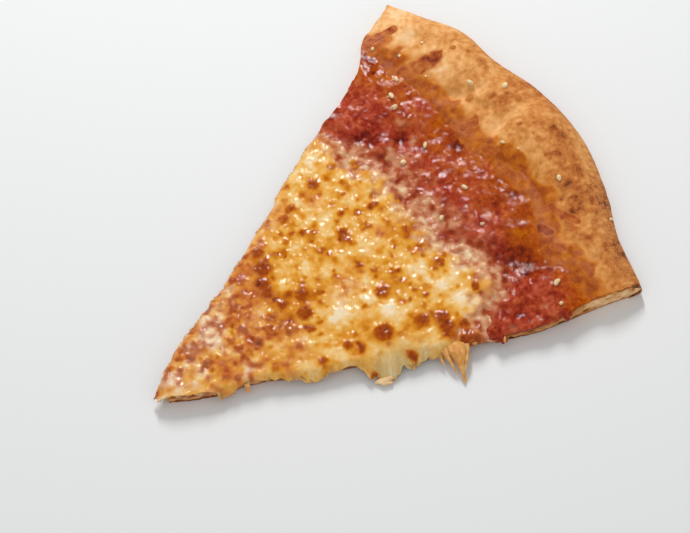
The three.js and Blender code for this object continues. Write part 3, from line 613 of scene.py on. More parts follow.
# ---- Height of the dough ----
def dough_base(x, y):
    radius, bearing = polar(x, y)
    inwards = np.maximum(rim_radius(bearing) - radius, 0)
    crest = RIM_CREST + curve(CREST_WAVE, bearing)
    slope = mix(crest, DOUGH_THICK, smooth(inwards, CREST_IN, FOOT_IN))
    roundness = np.sqrt(np.maximum(1 - (1 - np.minimum(inwards, CREST_IN) / CREST_IN) ** 2, 0))
    return np.where(inwards >= CREST_IN, slope, mix(RIM_SIDE, crest, roundness))


def dough_top(x, y):
    radius, bearing = polar(x, y)
    edge = smooth(rim_radius(bearing) - radius, 0, RIM_UNDERCUT)
    bare = smooth(radius - sauce_radius(bearing), *DOUGH_BARE)
    relief = forms(DOUGH_FORMS, x, y) + creases(DOUGH_CREASES, x, y)
    return dough_base(x, y) + edge * (relief + bare * waves(RIM_WAVES, (x, y)))


# ---- Height of the sauce ----
def curd_lumps(x, y):
    """Rounded lumps of curd: how high each place stands in the sauce and how pale it is, 0 to 1."""
    wx, wy = wander(CURD_WANDER, x, y)
    height, pale = np.zeros_like(x), 0.45 + ripples(CURD_CLOUDS, (wx, wy))
    for size, rise, seed in CURD_GRAINS:
        body, own = granules(wx, wy, size, seed)
        height += rise * (body - 0.25) * (0.7 + 0.3 * own)
        pale += 0.06 * own * smooth(body, 0, 0.9)
    pale += 0.14 * height + 0.2 * smooth(past_edge(x, y), *CURD_PALER)
    return height, np.clip(pale, 0, 1)


def curd_share(x, y):
    """How much curd is stirred into the sauce round the cheese's edge, from 0 to 1."""
    _, bearing = polar(x, y)
    outside = past_edge(x, y)
    kept = (1 - np.clip(forms(RED_PATCHES, x, y), 0, 1)) * smooth(np.abs(bearing - 1), *CURD_BEARINGS)
    strewn = smooth(outside, CURD_OUT, 1) * kept
    strewn = np.clip(strewn * (1 + ripples(CURD_PATCHES, (x, y))), 0, 1)
    share = smooth(outside, -CURD_IN, -1) * strewn
    return np.clip(share + 0.7 * forms(MILKY_LUMPS, x, y) - 0.5 * forms(DARK_SHADED_POCKETS, x, y), 0, 1)


def sauce_top(x, y):
    radius, bearing = polar(x, y)
    opened = smooth(radius - cheese_radius(bearing), *SAUCE_OPEN)
    inside = sauce_radius(bearing) - radius + ripples(FINE_EDGE_WAVES, (x, y))
    edge = smooth(inside, 0, SAUCE_FADE)
    lumps = forms(SAUCE_FORMS, x, y) + waves(SAUCE_WAVES, (x, y)) - forms(DARK_SHADED_POCKETS, x, y) * 0.35
    wx, wy = wander(PULP_WANDER, x, y)
    fine = ripples(SAUCE_LUMPS, (wx, wy))
    for size, height, seed in PULP_GRAINS:
        grain, value = granules(wx, wy, size, seed)
        fine += height * grain * (0.5 + 0.5 * value)
    fine = fine * mix(0.2, 1, smooth(inside, *SAUCE_RELIEF_IN))
    curd = curd_share(x, y) * curd_lumps(x, y)[0]
    bare = mix(-SUNK_EDGE, np.maximum(SAUCE_BARE_THICK + lumps, LEAST_THICK) + fine, edge)
    return dough_top(x, y) + mix(SAUCE_THICK, bare, opened) + curd * edge


# ---- Height of the cheese ----
def small_spots():
    """Small browned spots strewn over the cheese, as [x, y, radius, strength]."""
    draw = np.random.default_rng(11)
    x, y = np.meshgrid(np.arange(*SPOT_X, SPOT_SPACING), np.arange(*SPOT_Y, SPOT_SPACING))
    x, y = x.ravel(), y.ravel()
    x = x + draw.uniform(-0.5, 0.5, x.size) * SPOT_SPACING
    y = y + draw.uniform(-0.5, 0.5, x.size) * SPOT_SPACING
    size = draw.uniform(*SPOT_RADII, x.size)
    return np.stack([x, y, size, draw.uniform(*SPOT_STRENGTH, x.size) ** 1.5], -1)


SMALL_SPOTS = small_spots()


def baked_on(table, x, y, wx, wy):
    """How brown, how golden and how high each place is for a list of round blisters."""
    brown, golden, rise = np.zeros_like(x), np.zeros_like(x), np.zeros_like(x)
    for cx, cy, radius, strength in table:
        reach = 3 * radius + 1
        near = np.flatnonzero((np.abs(x - cx) < reach) & (np.abs(y - cy) < reach))
        away = ((wx[near] - cx) ** 2 + (wy[near] - cy) ** 2) / radius**2
        brown[near] = np.maximum(brown[near], strength * np.exp(-(away**1.6)))
        golden[near] += min(strength, 1) * np.exp(-away / 3)
        rise[near] = np.maximum(rise[near], radius * min(strength + 0.2, 1) * np.exp(-(away**1.5)))
    return brown, np.minimum(golden, 1), rise * BLISTER_RISE


def cheese_state(x, y):
    """The look and the small relief of the cheese at plan places."""
    radius, bearing = polar(x, y)
    low = smooth(radius, *TIP_ZONE)
    bx, by = wander(BLISTER_WANDER, x, y)
    brown, halo, rise = baked_on(BLISTERS, x, y, bx, by)
    spot, spot_halo, spot_rise = baked_on(SMALL_SPOTS, x, y, bx, by)
    wx, wy = wander(CHEESE_WANDER, x, y)
    pale = np.clip(forms(PALE_PATCHES, wx, wy), 0, 1.2)
    milky = np.clip(pale, 0, 1)
    mottle = ripples(CHEESE_MOTTLE, (wx, wy)) + 0.35 * ripple((x, y), 1.6, 103)
    tone = 0.19 + 0.13 * mottle + 0.17 * forms(GOLDEN_PATCHES, wx, wy) - 0.22 * pale
    tone += (0.24 * spot + 0.16 * spot_halo) * (1 - 0.6 * milky) + 0.16 * halo
    baked = np.clip(brown, 0, 1.1) * (1 - 0.05 * low)
    blistered = np.maximum(tone, 0.66) + 0.1 * ripple((x, y), 1.3, 103) + 0.16 * (baked - 0.7)
    tone = mix(tone, blistered, smooth(baked, 0.1, 0.75))
    tone += low * (0.2 * ripple((wx, wy), 6, 119) - 0.06)
    blush = forms(BLUSH_PATCHES, wx, wy) + 0.55 * low * (0.6 + ripple((wx, wy), 4.6, 107))
    strip = smooth(past_cut(radius, bearing), *LEFT_STRIP) * (bearing < 0)
    strip = strip * smooth(radius, *LEFT_STRIP_RADII)
    blush += 0.3 * strip * (0.7 + 0.6 * ripple((wx, wy), 3, 109))
    blush = np.minimum(blush, 0.75) * (0.85 + ripples(BLUSH_FLECKS, (x, y)))
    blush *= 1 - 0.8 * smooth(baked, 0.4, 0.85)
    relief = 0.8 * waves(CHEESE_WAVES, (x, y)) + rise + 0.2 * spot_rise
    relief += 0.4 * pale - 0.15 * np.clip(mottle, 0, 1)
    fine = ripples(CHEESE_RIPPLES, drawn_out(*wander(RIPPLE_WANDER, x, y)))
    relief += fine * (1 - 0.35 * milky) * (1 + 1.3 * low)
    relief += 0.07 * np.clip(brown, 0, 1) * ripple((x, y), 1.3, 131)
    return {
        "browning": tone, "baked": baked, "blush": blush, "clear": forms(CLEAR_PATCHES, wx, wy),
        "relief": relief,
    }


def cheese_thickness(x, y):
    """Full inside its torn edge, then thinner and sunk in the sauce."""
    inside = 2 - past_edge(x, y) + ripples(FINE_EDGE_WAVES, (x, y))
    full = CHEESE_THICK + cheese_state(x, y)["relief"]
    return mix(-SUNK_EDGE, full, smooth(inside, -1, CHEESE_FADE + 4))


def tip_bend(x, y):
    return TIP_DROP * (1 - smooth(np.hypot(x, y), 0, TIP_BEND))


def cheese_top(x, y):
    return sauce_top(x, y) + cheese_thickness(x, y) - tip_bend(x, y)


def cheese_under(x, y):
    return np.minimum(sauce_top(x, y) - tip_bend(x, y), cheese_top(x, y) - LEAST_THICK)


# ---- Lips that hang over the cuts ----
def lip_reach(lip, side, radius):
    reach = curve(lip, radius, 1)
    torn = np.maximum(1 + ripples(LIP_TEAR, (radius, side)), LEAST_TORN)
    return np.where(reach > 0, reach * torn, reach)


def lip_drop(lip, side, radius, past):
    """How far a lip has sunk at a distance past the cut."""
    plain, torn = curve(lip, radius, 1), lip_reach(lip, side, radius)
    drop = curve(lip, radius, 2) * smooth(plain, LIP_START, LEVEL_REACH)
    drop = drop * np.sqrt(np.maximum(torn, 0) / np.maximum(plain, 0.1))
    drop = drop * (1 + ripples(LIP_FOLDS, (radius, side + past / FOLD_TURN)))
    share = np.clip((past + ROUND_IN) / (torn + ROUND_IN), 0, 1)
    return np.where(plain <= LIP_START, 0, drop * share**LIP_BEND)


# ---- Closed skins ----
class Skin:
    """The points and triangles of one closed piece, with a value for each named mask at each point."""

    def __init__(self, masks):
        self.blocks = []
        self.masks = {name: [] for name in masks}
        self.faces = []
        self.count = 0

    def add(self, x, y, z, **masks):
        first = self.count
        self.blocks.append(np.stack(np.broadcast_arrays(x, y, z), -1).astype(float))
        self.count += len(self.blocks[-1])
        for name, held in self.masks.items():
            held.append(np.broadcast_to(masks.get(name, 0.0), len(self.blocks[-1])))
        return first + np.arange(self.count - first)

    def strip(self, near, near_at, far, far_at, turned=False):
        """Fills between two lines of points whose places along them rise from one end to the other."""
        near_middles = (near_at[1:] + near_at[:-1]) / 2
        far_middles = (far_at[1:] + far_at[:-1]) / 2
        far_facing = far[np.searchsorted(far_middles, near_middles, side="left")]
        near_facing = near[np.searchsorted(near_middles, far_middles, side="right")]
        made = np.concatenate([
            np.stack([near[:-1], near[1:], far_facing], -1),
            np.stack([near_facing, far[1:], far[:-1]], -1),
        ])
        self.faces.append(made[:, ::-1] if turned else made)

    def sheet(self, rows, turned=False):
        for (near, near_at), (far, far_at) in zip(rows, rows[1:]):
            self.strip(near, near_at, far, far_at, turned)

    def wall(self, loops):
        for (low, low_at), (high, high_at) in zip(loops, loops[1:]):
            self.strip(
                np.append(low, low[0]), np.append(low_at, CORNERS),
                np.append(high, high[0]), np.append(high_at, CORNERS),
            )

    def points(self):
        return np.concatenate(self.blocks)

    def triangles(self):
        return np.concatenate(self.faces)

    def looks(self):
        return {name: np.concatenate(held) for name, held in self.masks.items()}


def along_side(at):
    """Places along a row as a share of its length, just short of the next corner at its end."""
    return (at - at[0]) / (at[-1] - at[0]) * LOOP_GAP


def around(rows):
    """The loop round a stack of rows, with places from 0 to 4 along it."""
    first, last = rows[0], rows[-1]
    middle = rows[1:-1]
    share = (np.arange(len(middle)) + 1) / (len(middle) + 1)
    indices = [
        first[0], [row[0][-1] for row in middle], last[0][::-1], [row[0][0] for row in middle[::-1]],
    ]
    places = [along_side(first[1]), 1 + share, 2 + LOOP_GAP - along_side(last[1])[::-1], 3 + share]
    return np.concatenate(indices).astype(int), np.concatenate(places)


def spread(radius_at, shares, cells, reach_of=None, steps=()):
    """Plan places of a sheet's rows, from the tip outwards, each row from left to right."""
    steps = np.asarray(steps, float)
    at_cut = {side: radius_at(shares, np.full(len(shares), side * HALF_ANGLE)) for side in (LEFT, RIGHT)}
    reach = {side: reach_of(side, at_cut[side]) if reach_of else np.zeros(len(shares)) for side in at_cut}
    ends = {side: cut_bearing(side, at_cut[side], np.minimum(reach[side], 0)) for side in at_cut}
    lines = []
    for k, cell in enumerate(cells):
        width = math.radians(2 * HALF_ANGLE) * at_cut[RIGHT][k]
        inside = np.linspace(-1, 1, max(2, round(width / cell)) + 1)
        lines.append(np.concatenate([-1 - steps[::-1], inside, 1 + steps]))
    row = np.repeat(np.arange(len(lines)), [len(line) for line in lines])
    at = np.concatenate(lines)
    bearing = mix(ends[LEFT][row], ends[RIGHT][row], (np.clip(at, -1, 1) + 1) / 2)
    for side in (LEFT, RIGHT):
        over = side * at > 1
        k = row[over]
        out = np.maximum(reach[side][k], LEAST_REACH) * (np.abs(at[over]) - 1)
        bearing[over] = cut_bearing(side, at_cut[side][k], out)
    return lines, radius_at(np.asarray(shares)[row], bearing), bearing


def as_rows(indices, lines):
    """Splits a sheet's indices into its rows, each with its places along the row."""
    ends = np.cumsum([len(line) for line in lines])
    return [(part, line) for part, line in zip(np.split(indices, ends[:-1]), lines)]


def between(first, second):
    """The radius at a share of the way from one line to another."""
    return lambda share, bearing: mix(first(bearing), second(bearing), share)


def level(value):
    return lambda bearing: np.full(np.shape(bearing), float(value))


# ---- Dough ----
def hidden_edge(bearing):
    """Where the sauce starts to thin out, inside which the dough is hidden."""
    return sauce_radius(bearing) - SAUCE_FADE


def rim_foot(bearing):
    return rim_radius(bearing) - RIM_UNDERCUT


def crumb_loops(skin, edge, edge_at, outer):
    """Loops down the side of the dough: a rounded rim, and pitted crumb at the cuts."""
    places = skin.points()[edge]
    along = np.roll(places, -1, 0) - np.roll(places, 1, 0)
    away = np.stack([along[:, 1], -along[:, 0]], -1) / np.hypot(along[:, 0], along[:, 1])[:, None]
    loops = []
    for share in CRUMB_LEVELS:
        height = places[:, 2] * share
        spot = (places[:, 0], places[:, 1], height)
        holes = np.maximum(waves(CRUMB_HOLES, spot) + 0.25, 0) * 4 * share * (1 - share)
        inset = np.where(outer, RIM_UNDERCUT * (1 - share) ** 2, CUT_UNDERCUT * (1 - share) + holes)
        x, y = places[:, 0] - away[:, 0] * inset, places[:, 1] - away[:, 1] * inset
        loops.append((skin.add(x, y, height, cut_face=np.where(outer, 0, 1)), edge_at))
    return loops


def dough_skin():
    skin = Skin(["cut_face", "underside"])
    hidden_rows = round((DOUGH_HIDDEN_TO - DOUGH_TIP) / EDGE_CELL)
    lines, radius, bearing = spread(
        between(level(DOUGH_TIP), hidden_edge), np.arange(hidden_rows) / hidden_rows,
        np.full(hidden_rows, HIDDEN_CELL),
    )
    seen_rows = round(DOUGH_SEEN_LENGTH / FINE_CELL)
    seen = spread(
        between(hidden_edge, rim_radius), np.sin(np.linspace(0, np.pi / 2, seen_rows)),
        np.full(seen_rows, FINE_CELL),
    )
    lines += seen[0]
    x, y = place(np.append(radius, seen[1]), np.append(bearing, seen[2]))
    top = as_rows(skin.add(x, y, dough_top(x, y)), lines)
    skin.sheet(top)
    edge, edge_at = around(top)
    loops = crumb_loops(skin, edge, edge_at, np.isin(edge, top[-1][0]))
    lines, radius, bearing = spread(
        between(level(DOUGH_TIP + CUT_UNDERCUT), rim_foot), np.linspace(0, 1, len(top)),
        np.full(len(top), HIDDEN_CELL), lambda side, radius: np.full(len(radius), -CUT_UNDERCUT),
    )
    x, y = place(radius, bearing)
    floor = as_rows(skin.add(x, y, 0, underside=1), lines)
    skin.sheet(floor, turned=True)
    skin.wall([around(floor), *loops, (edge, edge_at)])
    return skin


# ---- Toppings ----
def topping_skin(masks, top, under, looks, lips, radius_at, shares, cells):
    """A topping: a closed sheet between two heights, with lips that hang over the cuts."""
    skin = Skin(masks)

    def laid(cells):
        lines, radius, bearing = spread(
            radius_at, shares, cells, lambda side, radius: lip_reach(lips[side], side, radius), LIP_STEPS,
        )
        x, y = place(radius, bearing)
        past = past_cut(radius, bearing)
        fall = {side: lip_drop(lips[side], side, radius, past) for side in (LEFT, RIGHT)}
        drop = np.where(bearing < 0, fall[LEFT], fall[RIGHT])
        return lines, x, y, past, drop, np.maximum(top(x, y) - drop, LOWEST_HANG + LIP_THICK)

    lines, x, y, past, drop, height = laid(cells)
    upper = as_rows(skin.add(x, y, height, **looks(x, y, past)), lines)
    lines, x, y, past, drop, ceiling = laid(np.full(len(shares), HIDDEN_CELL))
    bottom = under(x, y) - np.where(past > 0, drop, 0)
    bottom = np.where(past > 0, np.maximum(bottom, ceiling - LIP_THICK), bottom)
    lower = as_rows(skin.add(x, y, np.maximum(bottom, LOWEST_HANG), **looks(x, y, past)), lines)
    skin.sheet(upper)
    skin.sheet(lower, turned=True)
    skin.wall([around(lower), around(upper)])
    return skin


def sauce_radius_at(share, bearing):
    """Up to a share of 1 the sauce is hidden by cheese, and from there to 2 it is open."""
    covered = cheese_radius(bearing) - CHEESE_FADE
    inner = mix(SAUCE_TIP, covered, np.minimum(share, 1))
    return inner + (sauce_radius(bearing) + SAUCE_PAST - covered) * np.maximum(share - 1, 0)


def sauce_under(x, y):
    return np.minimum(dough_top(x, y), sauce_top(x, y) - LEAST_THICK)


def sauce_looks(x, y, past):
    radius, bearing = polar(x, y)
    wx, wy = wander(SAUCE_WANDER, x, y)
    inside = sauce_radius(bearing) - radius
    dark = np.clip(forms(DARK_SHADED_POCKETS, wx, wy), 0, 1)
    red = np.clip(forms(RED_PATCHES, wx, wy), 0, 1)
    px, py = wander(PULP_WANDER, x, y)
    coarse, fine = (granules(px, py, size, seed)[1] for size, _, seed in PULP_GRAINS)
    pulp = (0.1 * coarse + 0.09 * fine) * mix(0.3, 1, smooth(inside, *PULP_IN))
    # Darker in the pockets: deeper sauce, and painted shade in these sunk hollows.
    tone = 0.53 + 0.2 * ripples(SAUCE_MOTTLE, (wx, wy)) * (1 + 0.6 * red) + 0.02 * red - 0.36 * dark + pulp
    tone += 0.22 * smooth(inside, *DRIED_IN)
    oily = smooth(inside, *OILY_IN) * (1 - 0.75 * red) + 0.25 * wave((wx, wy), 4, 179)
    return {
        "tone": np.clip(tone, 0, 1), "oily": np.clip(oily, 0, 1),
        "stirred": np.maximum(curd_share(x, y), smooth(past_edge(x, y), *UNDER_CHEESE)),
        "curd": curd_lumps(x, y)[1],
    }


def sauce_skin():
    hidden = round((SAUCE_HIDDEN_TO - SAUCE_TIP) / SAUCE_HIDDEN_CELL)
    opened = round(SAUCE_SEEN_LENGTH / FINE_CELL)
    shares = np.concatenate([np.arange(hidden) / hidden, 1 + np.arange(opened + 1) / opened])
    return topping_skin(
        ["tone", "oily", "stirred", "curd"], sauce_top, sauce_under, sauce_looks,
        {LEFT: SAUCE_LIP, RIGHT: SAUCE_LIP}, sauce_radius_at, shares,
        np.where(shares < 1, HIDDEN_CELL, FINE_CELL),
    )


def cheese_looks(x, y, past):
    state = cheese_state(x, y)
    radius, bearing = polar(x, y)
    unbaked = 1 - smooth(state["baked"], 0.15, 0.5)
    outward = smooth(cheese_radius(bearing) - radius, *OUTER_BAND)
    streaks = 0.5 + 0.5 * ripple((radius + 0.5 * ripple((x, y), 3, 187), 0.3), 1.3, 181)
    stretched = np.clip(state["clear"], 0, 1)
    torn = 0.3 + ripples(LIP_FLECKS, (x, y)) + stretched * (0.26 * (streaks - 0.5) - 0.2)
    hanging = 0.8 * smooth(past, *OVER_CUT) * unbaked
    browning = mix(state["browning"], torn + 0.25 * (state["browning"] - 0.3), hanging)
    thinned = smooth(past_edge(x, y) + ripples(BLOTCHES, (x, y)), *THIN_CHEESE) * smooth(outward, 0, 0.2)
    red = np.clip(forms(RED_PATCHES, x, y), 0, 1)
    glassy = np.clip(stretched * (0.2 + 1.2 * streaks), 0, 1)
    return {
        "browning": np.clip(browning, 0, 1), "blush": np.clip(state["blush"] + red * outward, 0, 1),
        "clear": glassy * (1 - smooth(state["baked"], 0.1, 0.5)),
        "stirred": thinned * (1 - red) * unbaked, "curd": curd_lumps(x, y)[1],
    }


def past_cheese(bearing):
    return cheese_radius(bearing) + CHEESE_PAST


def cheese_skin():
    rows = round(CHEESE_LENGTH / FINE_CELL)
    return topping_skin(
        ["browning", "blush", "clear", "stirred", "curd"], cheese_top, cheese_under, cheese_looks,
        {LEFT: LEFT_LIP, RIGHT: RIGHT_LIP}, between(level(CHEESE_TIP), past_cheese),
        np.linspace(0, 1, rows), np.full(rows, FINE_CELL),
    )


# ---- Meshes ----
def point_normals(points, faces):
    a, b, c = points[faces[:, 0]], points[faces[:, 1]], points[faces[:, 2]]
    flat = np.cross(b - a, c - a)
    total = np.zeros_like(points)
    for corner, axis in itertools.product(range(3), repeat=2):
        total[:, axis] += np.bincount(faces[:, corner], flat[:, axis], len(points))
    return total / np.maximum(np.linalg.norm(total, axis=1), 1e-12)[:, None]


def make_piece(name, points, faces, masks, material, nodes=()):
    """A mesh in metres from points in millimetres on the slice's plan, riding on the slice."""
    mesh = bpy.data.meshes.new(name)
    mesh.vertices.add(len(points))
    mesh.vertices.foreach_set("co", ((points + TIP_TO_CENTRE) * MM).astype(np.float32).ravel())
    mesh.loops.add(faces.size)
    mesh.loops.foreach_set("vertex_index", faces.astype(np.int32).ravel())
    mesh.polygons.add(len(faces))
    mesh.polygons.foreach_set("loop_start", np.arange(0, faces.size, 3, dtype=np.int32))
    mesh.update(calc_edges=True)
    mesh.shade_smooth()
    for mask, values in masks.items():
        layer = mesh.attributes.new(mask, "FLOAT", "POINT")
        layer.data.foreach_set("value", np.asarray(values, np.float32))
    mesh.materials.append(material)
    piece = bpy.data.objects.new(name, mesh)
    bpy.context.scene.collection.objects.link(piece)
    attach(piece, "root")
    if nodes:
        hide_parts(*nodes)


# ---- Materials ----
def linear(hex_colour):
    """An sRGB hex colour as linear red, green, blue and full opacity."""
    parts = [int(hex_colour[k : k + 2], 16) / 255 for k in (1, 3, 5)]
    return [p / 12.92 if p <= 0.04045 else ((p + 0.055) / 1.055) ** 2.4 for p in parts] + [1.0]


def per_metre(size_mm):
    """The texture scale that gives features of a size in millimetres."""
    return 1 / (size_mm * MM)


def add(tree, kind, inputs=None, stops=(), out=0, **settings):
    """Adds a node and gives one of its outputs, if it has any. Inputs are values or the sockets that
    feed them, stops a ramp's [place, colour]."""
    made = tree.nodes.new(kind)
    for name, value in settings.items():
        setattr(made, name, value)
    for name, value in (inputs or {}).items():
        if isinstance(value, bpy.types.NodeSocket):
            tree.links.new(value, made.inputs[name])
        else:
            made.inputs[name].default_value = value
    while stops and len(made.color_ramp.elements) < len(stops):
        made.color_ramp.elements.new(0.5)
    for k, (position, colour) in enumerate(stops):
        made.color_ramp.elements[k].position = position
        made.color_ramp.elements[k].color = linear(colour)
    return made.outputs[out] if made.outputs else None


def new_material(name, *masks):
    """A material's node tree, the place on the slice, and the value of each named mask."""
    material = bpy.data.materials.new(name)
    material.use_nodes = True
    tree = material.node_tree
    tree.nodes.clear()
    values = [add(tree, "ShaderNodeAttribute", out="Fac", attribute_name=mask) for mask in masks]
    return material, tree, add(tree, "ShaderNodeTexCoord", out="Object"), *values


def shifted(tree, mask, cloud, swing):
    """A mask made uneven by a cloudy pattern round 0.5."""
    shift = add(tree, "ShaderNodeMath", {0: cloud, 1: 0.5}, operation="SUBTRACT")
    return add(tree, "ShaderNodeMath", {0: shift, 1: swing, 2: mask}, operation="MULTIPLY_ADD")


def finish_material(tree, colour, roughness, height, settings, bump_mm=0.1, bump_strength=0.5):
    bump = add(tree, "ShaderNodeBump", {
        "Height": height, "Distance": bump_mm * MM, "Strength": bump_strength,
    }, out="Normal")
    shader = add(tree, "ShaderNodeBsdfPrincipled", {
        "Base Color": colour, "Roughness": roughness, "Normal": bump, **settings,
    }, out="BSDF")
    add(tree, "ShaderNodeOutputMaterial", {"Surface": shader})


def stirred_in(tree, at, colour):
    """Curd and sauce that ran into each other: pinkish cream lumps with maroon and amber between."""
    share = add(tree, "ShaderNodeAttribute", out="Fac", attribute_name="stirred")
    curd = add(tree, "ShaderNodeAttribute", out="Fac", attribute_name="curd")
    # Curds that still hold together are two or three millimetres wide
    cloud = add(tree, "ShaderNodeTexNoise", {
        "Vector": at, "Scale": per_metre(2.6), "Detail": 3, "Roughness": 0.5,
    })
    curdy = add(tree, "ShaderNodeValToRGB", {"Fac": shifted(tree, curd, cloud, 0.5)}, [
        (0.1, "#701c08"), (0.32, "#983c1a"), (0.5, "#b6603c"), (0.66, "#cb8a62"), (0.82, "#daa47e"),
        (1.0, "#efd2a6"),
    ])
    return add(tree, "ShaderNodeMix", {FACTOR: share, FIRST: colour, SECOND: curdy}, out=BLEND,
               data_type="RGBA")


def mozzarella():
    """Low-moisture mozzarella, melted and blistered in a hot oven. The milk fat gives a wet gloss, the
    curd is slightly translucent, and it browns from cream through amber to dark brown."""
    material, tree, at, browning, blush, clear = new_material(
        "melted_mozzarella", "browning", "blush", "clear",
    )
    # Clots of curd, between one and two millimetres wide
    clots = add(tree, "ShaderNodeTexNoise", {
        "Vector": at, "Scale": per_metre(1.6), "Detail": 4, "Roughness": 0.6,
    })
    baked = add(tree, "ShaderNodeValToRGB", {"Fac": shifted(tree, browning, clots, 0.26)}, [
        (0.0, "#f8e2c0"), (0.12, "#f4cc88"), (0.27, "#ecae4c"), (0.4, "#de9222"), (0.53, "#c8700c"),
        (0.66, "#a84a08"), (0.8, "#88340e"), (1.0, "#501404"),
    ])
    # Sauce shows through where the cheese is thin
    strong = add(tree, "ShaderNodeMapRange", {"Value": blush, "From Max": 0.8, "To Max": 0.85})
    sauced = add(tree, "ShaderNodeValToRGB", {"Fac": blush}, [
        (0.15, "#e6a066"), (0.45, "#d27844"), (0.75, "#b8522a"), (1.0, "#9c3814"),
    ])
    tinted = add(tree, "ShaderNodeMix", {FACTOR: strong, FIRST: baked, SECOND: sauced}, out=BLEND,
                 data_type="RGBA")
    # Stretched cheese is clear and greenish
    partly = add(tree, "ShaderNodeMath", {0: clear, 1: 0.65}, operation="MULTIPLY")
    cleared = add(tree, "ShaderNodeMix", {FACTOR: partly, FIRST: tinted, SECOND: linear("#ccb884")},
                  out=BLEND, data_type="RGBA")
    # Ripples where the fat bubbled
    grain = add(tree, "ShaderNodeTexNoise", {
        "Vector": at, "Scale": per_metre(1.1), "Detail": 2, "Roughness": 0.5,
    })
    rough = add(tree, "ShaderNodeMapRange", {
        "Value": browning, "From Min": 0.25, "From Max": 0.7, "To Min": 0.09, "To Max": 0.05,
    })
    finish_material(tree, stirred_in(tree, at, cleared), rough, grain, {
        "IOR": 1.38, "Specular IOR Level": 0.2, "Subsurface Weight": 0.35,
        "Subsurface Radius": (1.0, 0.6, 0.3), "Subsurface Scale": 1.2 * MM,
    }, bump_mm=0.05, bump_strength=0.6)
    return material


def tomato_sauce():
    """Cooked tomato purée under a film of oil: rough wet lumps, dark where it pooled and dried, with
    painted shade in its sunk pockets, orange where only the oil is left, milky pink where cheese ran into
    it."""
    material, tree, at, tone, oily = new_material("cooked_tomato_sauce", "tone", "oily")
    # Pieces of pulp, a millimetre or two wide
    pulp = add(tree, "ShaderNodeTexNoise", {
        "Vector": at, "Scale": per_metre(1.5), "Detail": 4, "Roughness": 0.6,
    })
    uneven = shifted(tree, tone, pulp, 0.7)
    cooked = add(tree, "ShaderNodeValToRGB", {"Fac": uneven}, [
        (0.0, "#560c06"), (0.2, "#7c1e0e"), (0.4, "#9c301a"), (0.6, "#b4482a"), (0.8, "#c46648"),
        (1.0, "#d49478"),
    ])
    greasy = add(tree, "ShaderNodeValToRGB", {"Fac": uneven}, [
        (0.0, "#561404"), (0.28, "#923200"), (0.5, "#aa4a00"), (0.75, "#c26604"), (1.0, "#d48628"),
    ])
    oiled = add(tree, "ShaderNodeMix", {FACTOR: oily, FIRST: cooked, SECOND: greasy}, out=BLEND,
                data_type="RGBA")
    # The cells of the fruit are half this size, too fine to show, and are drawn coarser
    grain = add(tree, "ShaderNodeTexNoise", {
        "Vector": at, "Scale": per_metre(0.8), "Detail": 3, "Roughness": 0.6,
    })
    rough = add(tree, "ShaderNodeMapRange", {"Value": pulp, "To Min": 0.05, "To Max": 0.13})
    finish_material(tree, stirred_in(tree, at, oiled), rough, grain, {
        "IOR": 1.38, "Specular IOR Level": 0.22, "Subsurface Weight": 0.15,
        "Subsurface Radius": (1.0, 0.3, 0.15), "Subsurface Scale": 0.8 * MM,
    }, bump_mm=0.12, bump_strength=0.7)
    return material


